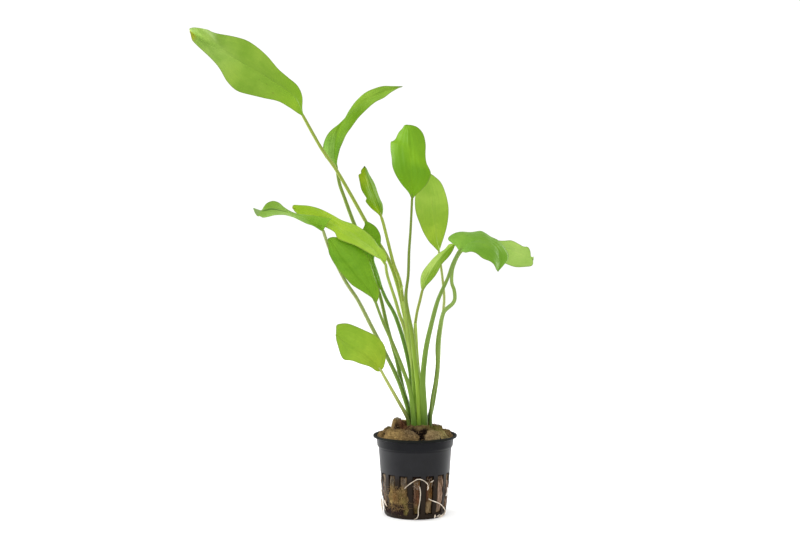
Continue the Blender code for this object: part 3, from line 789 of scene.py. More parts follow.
def leaf_skin(name, look):
    """A leaf's skin: green, paler below, with veins, a thin worn margin and a browned tip; some leaves have a half
    painted paler or darker as painted light and shade, and painted shade in a furrow along the rib.
    """
    finish = Finish(name)
    place = finish.place()
    at, along, half = finish.parts(finish.attribute("leaf_map"))
    back, share, _ = finish.parts(finish.attribute("leaf_side"))
    out = finish.math("ABSOLUTE", at)
    cloud = finish.noise(place, 55.0, 4.0, 0.55, 0.4)
    near, far = linear(look["near"]), linear(look["far"])
    if "middle" in look:
        green = finish.mix(finish.span(share, 0.08, 0.42), near, linear(look["middle"]))
        green = finish.mix(finish.span(share, 0.48, 0.82), green, far)
    else:
        green = finish.mix(finish.span(share, 0.05, 0.75), near, far)
    # Painted light and shade: a half that faces the light is painted paler, and one that faces away is painted darker.
    if "half" in look:
        side, colour, start, reach = look["half"]
        of_side = finish.span(at, -0.12, 0.06, 1.0, 0.0) if side == "left" else finish.span(at, -0.06, 0.12)
        of_side = finish.math("MULTIPLY", of_side, finish.span(share, start - 0.08, start + 0.08))
        of_side = finish.math("MULTIPLY", of_side, finish.span(share, reach - 0.12, reach + 0.08, 1.0, 0.0))
        green = finish.mix(finish.math("MULTIPLY", of_side, 0.85), green, linear(colour))
    behind = BACK_OF_UPPER if look["front"] == "upper" else BACK_OF_UNDER
    green = finish.mix(back, green, finish.mix(1.0, green, behind, "MULTIPLY"))
    green = finish.tinted(finish.span(cloud, 0.62, 0.36), green, (0.80, 0.87, 0.70, 1.0))
    green = finish.tinted(finish.span(cloud, 0.52, 0.74), green, (1.14, 1.08, 1.12, 1.0))

    veins = None
    for number, vein in enumerate((0.0,) + VEINS):
        apart = finish.math("ABSOLUTE", finish.math("SUBTRACT", out, vein))
        millimetres = finish.math("MULTIPLY", apart, half)
        line = finish.span(millimetres, 0.0, 0.62 if number == 0 else 0.36, 1.0, 0.0)
        veins = line if veins is None else finish.math("MAXIMUM", veins, line)
    slant = finish.math("MULTIPLY", finish.math("MULTIPLY", out, half), 0.55)
    wobble = finish.math("MULTIPLY", finish.noise(place, 260.0, 2.0), 2.6)
    rungs = finish.math("ADD", finish.math("ADD", along, slant), wobble)
    rungs = finish.math("SINE", finish.math("MULTIPLY", rungs, TAU / 1.9))
    rungs = finish.math("MULTIPLY", finish.span(rungs, 0.80, 1.0), 0.35)
    net = finish.math("MULTIPLY", finish.math("MAXIMUM", veins, rungs), finish.span(half, 2.0, 13.0, 0.12, 1.0))
    green = finish.tinted(finish.math("MULTIPLY", net, look.get("veins", 0.4)), green, (1.22, 1.12, 1.15, 1.0))

    to_margin = finish.math("MULTIPLY", finish.math("SUBTRACT", 1.0, out), half)
    edge = finish.span(to_margin, 0.12, 0.75, 1.0, 0.0)
    green = finish.mix(finish.math("MULTIPLY", edge, 0.5), green, linear((106, 110, 54)))
    # Painted shade in the furrow along the rib.
    if "hollow" in look:
        start, end, colour = look["hollow"]
        furrow = finish.span(finish.math("MULTIPLY", out, half), 0.3, 1.5, 1.0, 0.0)
        furrow = finish.math("MULTIPLY", furrow, finish.span(share, start, start + 0.1))
        furrow = finish.math("MULTIPLY", furrow, finish.span(share, end - 0.05, end, 1.0, 0.0))
        green = finish.mix(finish.math("MULTIPLY", furrow, 0.85), green, linear(colour))
    if "stain" in look:
        start, colour = look["stain"]
        ragged = finish.math("MULTIPLY", finish.math("SUBTRACT", cloud, 0.5), 0.10)
        stain = finish.span(finish.math("ADD", share, ragged), start - 0.02, start + 0.02)
        green = finish.mix(finish.math("MULTIPLY", stain, 0.85), green, linear(colour))
    specks = finish.span(finish.noise(place, 330.0, 2.0, 0.4), 0.735, 0.78)
    green = finish.mix(finish.math("MULTIPLY", specks, 0.4), green, linear((96, 98, 34)))

    relief = finish.bump(net, look.get("veins", 0.4) * 0.7, 0.10)
    relief = finish.bump(finish.noise(place, 420.0, 2.0, 0.5), 0.05, 0.06, relief)
    return finish.set(colour=green, rough=0.5, normal=relief, specular=look.get("gloss", 0.13))


def stalk_skin(name, foot, top):
    """A stalk's skin: fine lengthwise streaks between its two colours, and painted shade where it leaves the crown."""
    finish = Finish(name)
    turn, along, share = finish.parts(finish.attribute("stem_map"))
    place = finish.place()
    green = finish.mix(finish.span(share, 0.12, 0.62), linear(foot), linear(top))
    # Painted shade at the foot, where the stalk goes into the crown and the wool.
    green = finish.tinted(finish.span(along, 3.0, 15.0, 1.0, 0.0), green, (0.50, 0.58, 0.36, 1.0))
    lengthwise = finish.joined(finish.math("MULTIPLY", turn, 9.0), finish.math("MULTIPLY", along, 0.035), 0.0)
    streaks = finish.noise(lengthwise, 1.6, 3.0, 0.55)
    green = finish.tinted(finish.span(streaks, 0.62, 0.35), green, (0.78, 0.83, 0.70, 1.0))
    blotch = finish.noise(place, 120.0, 3.0)
    green = finish.tinted(finish.span(blotch, 0.55, 0.75, 0.0, 0.5), green, (1.0, 0.84, 0.84, 1.0))
    relief = finish.bump(streaks, 0.3, 0.15)
    relief = finish.bump(finish.noise(place, 1500.0, 3.0), 0.15, 0.06, relief)
    return finish.set(
        colour=green, rough=0.45, normal=relief, specular=0.2,
    )


def wool_skin(name):
    """Damp mineral wool: matted fibre in brown, rust and olive, with painted shade, nearly black, in its cracks and
    hollows.
    """
    finish = Finish(name)
    place = finish.place()
    tint = finish.attribute("wool_tint")
    deep, _, _ = finish.parts(finish.attribute("wool_painted_shade"))
    x, y, z = finish.parts(place)
    warp = finish.noise(place, 150.0, 4.0, 0.6, 0.8)
    upright = finish.joined(x, y, finish.math("MULTIPLY", z, 0.30))
    lying = finish.joined(finish.math("MULTIPLY", x, 0.45), y, finish.math("MULTIPLY", z, 1.5))
    streaks = finish.mix(
        finish.span(z, 0.045, 0.049), finish.noise(upright, 640.0, 4.0, 0.7, 1.2), finish.noise(lying, 560.0, 4.0, 0.7, 2.4),
    )
    grain = finish.noise(place, 1300.0, 3.0, 0.6, 1.0)
    tint = finish.tinted(finish.span(warp, 0.60, 0.32), tint, (0.66, 0.62, 0.56, 1.0))
    tint = finish.tinted(finish.span(warp, 0.5, 0.72), tint, (1.22, 1.18, 1.12, 1.0))
    tint = finish.tinted(finish.span(streaks, 0.56, 0.36), tint, (0.40, 0.35, 0.28, 1.0))
    tint = finish.tinted(finish.span(streaks, 0.56, 0.70), tint, (1.45, 1.42, 1.38, 1.0))
    tint = finish.tinted(finish.span(grain, 0.60, 0.78), tint, (1.3, 1.28, 1.2, 1.0))
    # Painted shade: nearly black where the painted shade amounts are high, in cracks, hollows, behind the ribs and
    # inside the lip.
    ragged = finish.math("ADD", deep, finish.math("MULTIPLY", finish.math("SUBTRACT", warp, 0.5), 0.5))
    tint = finish.mix(finish.span(ragged, 0.25, 0.80), tint, linear((22, 11, 5)))
    relief = finish.bump(streaks, 0.9, 0.7)
    relief = finish.bump(grain, 0.5, 0.25, relief)
    return finish.set(colour=tint, rough=0.9, normal=relief, specular=0.12)


def fibre_skin(name, colour):
    finish = Finish(name)
    shade = finish.noise(finish.place(), 240.0, 2.0)
    light = linear(colour)
    tint = finish.mix(finish.span(shade, 0.3, 0.7), finish.mix(1.0, light, (0.55, 0.48, 0.4, 1.0), "MULTIPLY"), light)
    return finish.set(colour=tint, rough=0.85, specular=0.25)


def pot_skin(name):
    """Moulded charcoal plastic with a satin skin, faint scuffs, some dried dirt near its foot, and painted shade on its
    neck and lip.
    """
    finish = Finish(name)
    place = finish.place()
    _, _, height = finish.parts(place)
    cloud = finish.noise(place, 90.0, 4.0, 0.6)
    scuffs = finish.noise(place, 900.0, 4.0, 0.65, 0.6)
    black = finish.mix(finish.span(cloud, 0.3, 0.7), linear((13, 13, 16)), linear((20, 20, 24)))
    black = finish.mix(finish.span(scuffs, 0.62, 0.78, 0.0, 0.25), black, linear((40, 40, 46)))
    low = finish.span(height, 0.0, 0.012, 1.0, 0.0)
    dirt = finish.math("MULTIPLY", finish.span(finish.noise(place, 420.0, 5.0, 0.7), 0.46, 0.66), low)
    black = finish.mix(finish.math("MULTIPLY", dirt, 0.6), black, linear((70, 52, 44)))
    rough = finish.span(cloud, 0.3, 0.75, 0.34, 0.46)
    rough = finish.math("ADD", rough, finish.math("MULTIPLY", dirt, 0.35))
    # Painted shade: the plastic is darker from the step up, over the neck and the lip.
    neck = finish.span(height, 0.0432, 0.0446)
    black = finish.tinted(neck, black, (0.62, 0.66, 0.70, 1.0))
    film = finish.span(height, 0.024, 0.030, 1.0, 0.0)
    black = finish.mix(finish.math("MULTIPLY", film, 0.85), black, linear((33, 23, 12)))
    # Painted shade: the lip is darker still, greenish black, and rougher.
    rim = finish.span(height, 0.0505, 0.0520)
    black = finish.mix(finish.math("MULTIPLY", rim, 0.7), black, linear((24, 26, 20)))
    rough = finish.math("ADD", rough, finish.math("MULTIPLY", rim, 0.4))
    dull = finish.math("ADD", finish.math("MULTIPLY", rim, 0.5), neck)
    dull = finish.math("ADD", dull, finish.math("MULTIPLY", film, 1.1))
    gloss = finish.span(dull, 0.0, 1.5, 0.21, 0.09)
    relief = finish.bump(finish.noise(place, 1300.0, 3.0), 0.12, 0.05)
    relief = finish.bump(scuffs, 0.06, 0.08, relief)
    return finish.set(colour=black, rough=rough, normal=relief, specular=gloss)


def root_skin(name, dry, fresh):
    """A root's skin: pale, and darker where it has dried."""
    finish = Finish(name)
    place = finish.place()
    patch = finish.noise(place, 210.0, 3.0)
    cream = finish.mix(finish.span(patch, 0.35, 0.62), linear(dry), linear(fresh))
    relief = finish.bump(finish.noise(place, 2600.0, 3.0), 0.4, 0.06)
    return finish.set(
        colour=cream, rough=0.55, normal=relief, specular=0.3,
    )


def floor_skin(name):
    finish = Finish(name)
    pale = finish.noise(finish.place(), 6.0, 2.0)
    shade = finish.mix(finish.span(pale, 0.2, 0.8), (0.975, 0.975, 0.975, 1.0), (0.985, 0.985, 0.985, 1.0))
    return finish.set(colour=shade, rough=0.9, specular=0.1)


def mesh_piece(name, points, faces, finish, maps=None, sharp=None):
    """A mesh from points in millimetres, with its point attributes, its finish and smooth shading."""
    mesh = bpy.data.meshes.new(name)
    mesh.from_pydata([Vector(point) * MM for point in points], [], faces)
    mesh.validate()
    for map_name, values in (maps or {}).items():
        layer = mesh.attributes.new(map_name, "FLOAT_VECTOR", "POINT")
        layer.data.foreach_set("vector", [number for value in values for number in value])
    mesh.materials.append(finish)
    mesh.shade_smooth()
    if sharp:
        mesh.set_sharp_from_angle(angle=math.radians(sharp))
    piece = bpy.data.objects.new(name, mesh)
    bpy.context.scene.collection.objects.link(piece)
    return piece


def dress(piece, slot, *nodes):
    """The piece rides with the plant and stands for those solids; slot is not used."""
    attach(piece, "root")
    if nodes:
        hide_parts(*nodes)
    return piece


def frames_along(points, wide=None):
    """A side and an up direction at each point of a line: the side keeps to wide, or turns as little as it can."""
    made = []
    side = wide
    for index, point in enumerate(points):
        before = points[max(0, index - 1)]
        after = points[min(len(points) - 1, index + 1)]
        ahead = (after - before).normalized()
        if side is None:
            side = ahead.orthogonal()
        side = wide or side
        side = (side - ahead * side.dot(ahead)).normalized()
        made.append((side, ahead.cross(side)))
    return made


def tube_data(points, radii, sides, ridges=0, ridge_share=0.0, start=0, wide=None):
    """The corners, faces and map of a closed tube, whose radii are numbers or (side, up) pairs."""
    total = sum((there - here).length for here, there in zip(points, points[1:]))
    corners, faces, maps, run = [], [], [], 0.0
    last = len(points) - 1
    for index, (point, (side, up)) in enumerate(zip(points, frames_along(points, wide))):
        if index:
            run += (point - points[index - 1]).length
        radius = radii[index]
        across, over = radius if isinstance(radius, tuple) else (radius, radius)
        for number in range(sides):
            angle = TAU * number / sides
            swell = 1.0 + ridge_share * math.cos(ridges * angle)
            corners.append(point + (side * math.cos(angle) * across + up * math.sin(angle) * over) * swell)
            maps.append((math.sin(angle / 2), run, run / total))
    for ring in range(last):
        for number in range(sides):
            following = (number + 1) % sides
            low, high = start + ring * sides, start + (ring + 1) * sides
            faces.append((low + number, low + following, high + following, high + number))
    faces.append(tuple(start + number for number in reversed(range(sides))))
    faces.append(tuple(start + last * sides + number for number in range(sides)))
    return corners, faces, maps


def stalk_route(leaf):
    foot = Vector((*leaf["foot"], STALK_FOOT))
    return [foot, foot + Vector((0.0, 0.0, STALK_RISE))] + [seen_at(*point) for point in leaf["stalk"]]


def blade_rails(name, leaf):
    """The left margin, the rib and the right margin of a blade, each from its base to its tip."""
    rib = [seen_at(*point) for point in leaf["rib"]]
    top = stalk_route(leaf)[-1]
    base = top + (rib[0] - top).normalized() * 0.6
    across, up = on_plane(*MARGINS[name]["tip"])
    tip = seen_at(across, up, leaf["rib"][-1][2])
    first_side = seen_at(*leaf["left"][0]) - seen_at(*leaf["right"][0])
    base_side = first_side.normalized() * (leaf["thick"][1] / 2)
    rails = [Rail([base] + rib[:-1] + [tip])]
    for side, sign in (("left", 1), ("right", -1)):
        solid = Rail([base + base_side * sign] + [seen_at(*point) for point in leaf[side]] + [tip])
        edge = [on_plane(*pixel) for pixel in MARGINS[name][side]]
        edge = [under_top(across, up, solid.away_at(across, up)) for across, up in edge]
        rails.append(Rail([base + base_side * sign] + edge + [tip]))
    rib_rail, left, right = rails
    return left, rib_rail, right


def girth_at(name, share):
    """How much wider than usual that stalk is at a share of its length."""
    knots = GIRTHS.get(name, [(0.0, 1.0), (1.0, 1.0)])
    for (low, start), (high, end) in zip(knots, knots[1:]):
        if share <= high:
            return start + (end - start) * smooth_step(low, high, share)
    return knots[-1][1]


def stalk(name, leaf, look):
    """A leaf's stalk: a ridged, tapering stem with a sheathing foot, which runs into the blade."""
    _, rib, _ = blade_rails(name, leaf)
    route = stalk_route(leaf)
    route[0] = route[0] - Vector((0.0, 0.0, 3.0))
    line = spaced_along(route + [rib.at(0.0), rib.at(3.0 / rib.length)], 1.6)
    foot, top = leaf["thick"][0] / 2, leaf["thick"][1] / 2 * STALK_SWELL
    wide = Vector((CROWN_MIDDLE[1] - leaf["foot"][1], leaf["foot"][0] - CROWN_MIDDLE[0], 0.0)).normalized()
    radii = []
    for index, point in enumerate(line):
        share = index / (len(line) - 1)
        radius = foot + (top - foot) * share
        sheath = 1.0 + 0.18 * smooth_step(150.0, 110.0, point.z) + 0.42 * smooth_step(100.0, 62.0, point.z)
        end = 1.0 - 0.55 * smooth_step(0.965, 1.0, share)
        wander = (1.0 + 0.05 * noise.noise(point * 0.16)) * girth_at(name, share)
        radii.append((radius * sheath * end * wander, radius * (0.72 + 0.22 * sheath) * end * wander))
    points, faces, maps = tube_data(line, radii, 18, 6, 0.03, wide=wide)
    finish = stalk_skin(name + "_stalk_skin", *look["stalk"])
    piece = mesh_piece(name + "_stalk", points, faces, finish, {"stem_map": maps}, 50)
    return dress(piece, "stalk_green", "stalk_" + name)


def blade(name, leaf, look):
    """A leaf's blade: two skins that meet at a thin margin, over a raised rib."""
    left, rib, right = blade_rails(name, leaf)
    rows = max(30, round(rib.length / ROW_SPACING))
    front_is_upper = look["front"] == "upper"
    toward_upper = 1.0 if front_is_upper else -1.0
    height, waves, turn = look["ripple"]
    skins, maps, sides = ([], []), ([], []), ([], [])
    for row in range(rows + 1):
        level = row / rows
        share = level - 0.08 * math.sin(TAU * level) / TAU * 2
        middle = rib.at(share)
        ahead = (rib.at(share + 0.02) - rib.at(share - 0.02)).normalized()
        chords = {"left": left.at(share) - middle, "right": right.at(share) - middle}
        if row == rows:
            chords = {side: chord.normalized() * 0.12 for side, chord in last_chords.items()}
        last_chords = chords
        flat = (chords["right"] - chords["left"]).cross(ahead).normalized()
        grown = smooth_step(0.0, 0.2, share)
        for column in range(BLADE_COLUMNS + 1):
            at = 2 * column / BLADE_COLUMNS - 1
            at = math.copysign(abs(at) ** 1.15, at)
            out = abs(at)
            side = "left" if at < 0 else "right"
            chord = chords[side]
            half = chord.length
            lean = ahead.cross(chord) if side == "left" else chord.cross(ahead)
            normal = flat.lerp(lean.normalized(), smooth_step(0.0, 0.35, out)).normalized()
            dome = 4 * out * (1 - out) * look["dome"] * half
            quilt = 0.09 * smooth_step(0.0, 0.25, share) * (math.cos(TAU * out * 3.7) - 1.0) * (1 - out)
            phase = waves * share + turn + (0.37 if side == "left" else 0.0)
            wave = height * out**2.2 * math.sin(TAU * phase) * grown * smooth_step(0.0, 0.15, 1 - share)
            uneven = 0.35 * noise.noise(middle * 0.11 + Vector((at * 3.0, 7.1, 2.3)))
            uneven *= smooth_step(0.0, 0.1, out) * smooth_step(0.0, 0.1, share)
            point = inside_box(middle + chord * out + normal * (toward_upper * (dome + quilt) + wave + uneven))
            thick = MARGIN_THICKNESS + (BLADE_THICKNESS - MARGIN_THICKNESS) * (1 - out**5)
            rib_high = (0.75 * (1 - share) ** 1.2 + 0.12) * leaf["thick"][1] / 1.6
            rib_wide = 0.85 * (1 - 0.6 * share)
            ridge = rib_high * math.exp(-((out * half / rib_wide) ** 2))
            groove = 0.16 * (1 - share) * math.exp(-((out * half / 0.7) ** 2))
            above, below = thick / 2 - groove, thick / 2 + ridge
            front, back = (above, below) if front_is_upper else (below, above)
            skins[0].append(point + normal * front)
            skins[1].append(point - normal * back)
            for skin in (0, 1):
                maps[skin].append((at, share * rib.length, half))
                sides[skin].append((float(skin), share, 0.0))
    width = BLADE_COLUMNS + 1
    count = len(skins[0])
    faces = []
    for row in range(rows):
        for column in range(BLADE_COLUMNS):
            first = row * width + column
            quad = (first, first + 1, first + width + 1, first + width)
            faces.append(quad)
            faces.append(tuple(count + corner for corner in reversed(quad)))
    rim = [row * width for row in range(rows + 1)]
    rim += [rows * width + column for column in range(1, width)]
    rim += [row * width + width - 1 for row in range(rows - 1, -1, -1)]
    rim += list(range(width - 2, 0, -1))
    for here, there in zip(rim, rim[1:] + rim[:1]):
        faces.append((here, there, count + there, count + here))
    piece = mesh_piece(
        name + "_blade", skins[0] + skins[1], faces, leaf_skin(name + "_leaf_skin", look),
        {"leaf_map": maps[0] + maps[1], "leaf_side": sides[0] + sides[1]}, 70,
    )
    return dress(piece, "leaf_green", "blade_" + name)


def pot():
    """The grow pot: a turned wall with upright slots, a rolled lip and a rounded foot with a shallow hollow under it.
    """
    per_slot = 12
    columns = SLOT_COUNT * per_slot
    outside = fine_profile(POT_OUTSIDE)
    heights = [height for _, height in outside]
    points, faces = [], []
    inner_of = {}
    slot_half = math.degrees(SLOT_WIDTH / 2 / 21.8)
    pitch = 360.0 / SLOT_COUNT
    turns = []
    for number in range(SLOT_COUNT):
        middle = SLOT_TURN + number * pitch
        edge_steps = [-slot_half + 2 * slot_half * step / 6 for step in range(7)]
        rib_steps = [slot_half + (pitch - 2 * slot_half) * step / 6 for step in range(1, 6)]
        turns += [middle + step for step in edge_steps + rib_steps]
    columns = len(turns)
    in_slot = [(index % 12) < 6 for index in range(columns)]

    def ring(radius, height):
        first = len(points)
        for turn in turns:
            angle = math.radians(turn)
            points.append(Vector((radius * math.sin(angle), -radius * math.cos(angle), height)))
        return first

    neck_height = POT_OUTSIDE[POT_NECK][1]
    inside = [(radius - POT_WALL, height) for radius, height in outside if POT_FLOOR + 1.0 < height < neck_height]
    outer_rings = [ring(radius, height) for radius, height in outside]
    inner_rings = [ring(radius, height) for radius, height in inside]
    inner_heights = [height for _, height in inside]

    def open_between(high, low):
        return high <= SLOT_TOP + 0.01 and low >= SLOT_BOTTOM - 0.01

    def quads(upper, lower, cells, flip):
        for index in cells:
            following = (index + 1) % columns
            quad = (upper + index, lower + index, lower + following, upper + following)
            faces.append(quad if not flip else quad[::-1])

    for levels, rings, flip in ((heights, outer_rings, False), (inner_heights, inner_rings, True)):
        for level in range(len(levels) - 1):
            is_open = open_between(levels[level], levels[level + 1])
            cells = [index for index in range(columns) if not (is_open and in_slot[index])]
            quads(rings[level], rings[level + 1], cells, flip)
    pairs = {}
    for height, start in zip(heights, outer_rings):
        if height in inner_heights:
            pairs[height] = (start, inner_rings[inner_heights.index(height)])
    slot_heights = sorted(height for height in pairs if SLOT_BOTTOM - 0.01 <= height <= SLOT_TOP + 0.01)
    for index in range(columns):
        following = (index + 1) % columns
        before = (index - 1) % columns
        if in_slot[index]:
            outer, inner = pairs[slot_heights[0]]
            faces.append((outer + index, inner + index, inner + following, outer + following)[::-1])
            outer, inner = pairs[slot_heights[-1]]
            faces.append((outer + index, inner + index, inner + following, outer + following))
        if in_slot[index] != in_slot[before]:
            for low, high in zip(slot_heights, slot_heights[1:]):
                outer_low, inner_low = pairs[low]
                outer_high, inner_high = pairs[high]
                quad = (outer_low + index, outer_high + index, inner_high + index, inner_low + index)
                faces.append(quad if in_slot[index] else quad[::-1])
    throat = inner_rings[0]
    for radius, height in POT_MOUTH:
        wider = ring(radius, height)
        quads(wider, throat, range(columns), True)
        throat = wider
    quads(outer_rings[0], throat, range(columns), True)
    floor_ring = ring(inside[-1][0] - 0.9, POT_FLOOR)
    quads(inner_rings[-1], floor_ring, range(columns), True)
    faces.append(tuple(floor_ring + index for index in range(columns)))
    foot_step = ring(17.2, 0.0)
    foot_hollow = ring(16.8, 0.5)
    quads(outer_rings[-1], foot_step, range(columns), False)
    quads(foot_step, foot_hollow, range(columns), False)
    faces.append(tuple(foot_hollow + index for index in reversed(range(columns))))
    piece = mesh_piece("grow_pot", points, faces, pot_skin("pot_skin"), None, 32)
    return dress(piece, "charcoal_plastic", "pot")


def fine_profile(profile):
    """The pot's outer profile with its lip rounded and rings where the slots start and end."""
    lip = [
        (26.5, 52.66), (27.0, 52.68), (27.38, 52.52), (27.48, 52.3), (27.5, 52.0), (27.48, 51.6),
        (27.4, 51.35), (27.2, 51.2), (26.4, 51.0), (25.75, 50.8), (25.35, 50.35),
    ]
    neck = [
        (25.28, 49.6), (25.1, 47.9), (24.97, 46.4), (24.88, 45.8), (24.7, 45.35), (24.45, 45.0),
        (24.2, 44.7), (24.02, 44.3), (23.93, 43.8),
    ]
    levels = (42.4, 40.0, 36.0, 32.0, 30.0, SLOT_TOP, 26.0, 23.0, 20.0, 17.0, 14.0, 11.0, 8.5, 6.5, 4.8, SLOT_BOTTOM)
    wall = [(radius_at(height), height) for height in levels]
    foot = [(20.38, 2.6), (20.28, 1.7), (20.05, 0.9), (19.7, 0.3), (19.3, 0.0)]
    return lip + neck + wall + foot


# The wool's form, in millimetres.
WOOL_RIM_HEIGHT = 51.9
WOOL_MOUTH = 25.3  # how far out the wool reaches inside the pot's lip
WOOL_CHUNKS = [  # a torn chunk's (x, y), the height of its top and its reach along x and y
    (3.0, -1.0, 59.3, 13.5, 11.6),
    (-11.0, -17.0, 57.8, 16.5, 8.6),
    (-12.0, 1.0, 62.9, 5.2, 6.5),
    (-16.8, -3.0, 54.9, 6.0, 7.5),
    (-7.4, 2.6, 60.8, 3.6, 4.6),
    (-21.8, -2.0, 54.6, 5.0, 9.0),
    (14.5, -15.5, 57.2, 11.0, 9.0),
    (14.4, -2.0, 58.2, 5.2, 7.0),
    (19.5, 0.0, 55.8, 5.0, 8.0),
    (-6.0, 13.0, 59.4, 9.0, 8.0),
    (10.0, 13.5, 57.0, 8.5, 8.0),
    (-16.0, 11.0, 55.2, 7.0, 7.0),
    (1.0, 20.0, 56.2, 9.0, 5.0),
]
WOOL_CRACKS = [  # a crack's route as (x, y), its depth and its width
    ([(-15, -9.5), (-9, -11), (-4, -11.5), (-0.5, -12.5)], 4.5, 1.0),
    ([(-0.5, -12.8), (2.2, -13.4), (4.8, -13.2)], 6.0, 2.6),
    ([(3.6, -14.5), (4.3, -18), (4.4, -25)], 6.0, 1.3),
    ([(14.8, -22.4), (17.2, -21.6)], 5.0, 1.7),
    ([(-21, -4.5), (-18, -8.0), (-15, -9.5)], 1.2, 0.9),
    ([(6.5, -9.0), (11, -8.4), (17, -8.0), (24, -6)], 3.0, 0.9),
    ([(-7.4, -23), (-7.8, -19), (-7.4, -16)], 0.45, 0.8),
    ([(-12, 6.5), (-9, 7.5), (-2, 9.0), (2, 14), (2.5, 23)], 4.0, 1.2),
    ([(2, 10), (8, 8.5), (13, 6.5), (23, 7)], 3.4, 1.1),
    ([(-9, 7.5), (-15, 5.5), (-23, 6.5)], 3.2, 1.0),
    ([(-12, 14), (-13, 19), (-12, 23)], 3.0, 1.0),
]
SIDE_BULGE = (-33.0, 13.2, 23.0, 8.6)  # the turn, height and reach of the wool that has swollen over a rib
BULGE_TAIL = (-17.5, 6.5, 6.5, 5.5)  # the same for its low right corner
FOOT_CRUST = (-43.0, 3.2, 25.0, 4.6)  # and for the dark crust below it

# Colours of the wool's patches, sRGB. The nearly black brown at the start and the crack colour at the end are painted
# shade.
SHADOW_BROWN, RED_BROWN, RUST, MAUVE = (40, 24, 14), (92, 52, 34), (92, 62, 24), (104, 84, 74)
OLIVE, TAN, PALE_TAN, PINK_TAN = (90, 82, 44), (128, 104, 62), (150, 134, 88), (134, 108, 90)
GREY_TAN, MOSS, CRUST, CREVICE_SHADOW = (122, 106, 86), (100, 104, 44), (42, 28, 26), (34, 16, 6)
# The darkest patches, under the tops of the front slots at 2, 24 and 47 degrees, are painted shade.
SIDE_PATCHES = [  # (turn, height, reach in degrees, reach up, colour)
    (-3, 14, 3.5, 8, MAUVE), (4.5, 15, 5.5, 8, (90, 58, 40)), (2, 6, 7, 3.5, (82, 70, 38)), (2, 27.5, 8, 2.5, SHADOW_BROWN),
    (19.5, 16, 4, 8, (74, 46, 34)), (29, 18.5, 5, 6, RUST), (25, 7, 6, 4.5, (140, 122, 92)), (24, 27, 7, 2.5, SHADOW_BROWN),
    (47, 26.5, 6, 3, (88, 74, 64)), (47, 17, 6, 8, (146, 119, 101)), (46, 7, 7, 4, GREY_TAN),
    (-20, 24.5, 7, 4, (96, 86, 76)), (-43, 24.5, 7, 4.5, (80, 75, 68)), (-44, 16, 6, 5, (132, 112, 66)), (-35, 14, 6, 4, (118, 88, 50)),
    (-24, 14, 7, 6, (112, 96, 56)), (-46, 10, 5, 4, (146, 126, 78)), (-31, 9, 7, 3, (136, 114, 70)),
    (-17, 7, 6, 5, (104, 98, 52)), (-66, 20, 8, 9, (106, 100, 94)), (69, 16, 8, 9, (84, 70, 60)),
    (100, 17, 10, 7, OLIVE), (135, 10, 12, 6, RED_BROWN), (160, 20, 9, 7, PALE_TAN), (185, 9, 9, 5, MAUVE),
    (205, 18, 10, 7, RUST), (230, 11, 10, 6, OLIVE), (250, 22, 8, 6, RED_BROWN), (275, 12, 9, 7, TAN),
]
# The crack-coloured patches near the front cracks are painted shade on the slopes beside them.
TOP_PATCHES = [  # (x, y, reach along x and y, colour)
    (-14, -18, 8, 7, (132, 110, 68)), (-3, -18, 5, 5, (124, 106, 78)), (-8.5, -3, 3.2, 5, (112, 60, 44)),
    (-14, -5, 4, 5, (124, 100, 62)), (-12, 2.5, 3.5, 3, (134, 128, 104)), (7.5, -19, 3.5, 5, (130, 110, 80)),
    (17, -20, 6, 3.0, (150, 134, 98)), (19, -14, 5, 4, (138, 124, 78)), (14, -10, 6, 5, MOSS),
    (12, -3, 4, 3, MOSS), (2, -9, 7, 3, (116, 100, 66)), (16, 2, 5, 4, OLIVE), (-6, 14, 6, 5, PALE_TAN),
    (9, 13, 5, 5, RED_BROWN), (-16, 10, 5, 5, OLIVE), (0, 21, 6, 3, MOSS), (9, -13, 3.5, 3, (138, 122, 84)),
    (-12.5, -4.8, 3.4, 1.2, CREVICE_SHADOW), (-7.2, -5.4, 4.2, 1.9, CREVICE_SHADOW), (-2.6, -9.2, 3.2, 1.5, CREVICE_SHADOW),
    (3.4, -12.2, 4.6, 2.0, CREVICE_SHADOW), (4.4, -17.0, 1.5, 5.0, CREVICE_SHADOW),
]


def away_from_line(x, y, route):
    """The shortest way from (x, y) to a line of straight runs."""
    least = math.inf
    for (ax, ay), (bx, by) in zip(route, route[1:]):
        run_x, run_y = bx - ax, by - ay
        share = ((x - ax) * run_x + (y - ay) * run_y) / (run_x**2 + run_y**2)
        share = max(0.0, min(1.0, share))
        least = min(least, math.hypot(x - ax - run_x * share, y - ay - run_y * share))
    return least


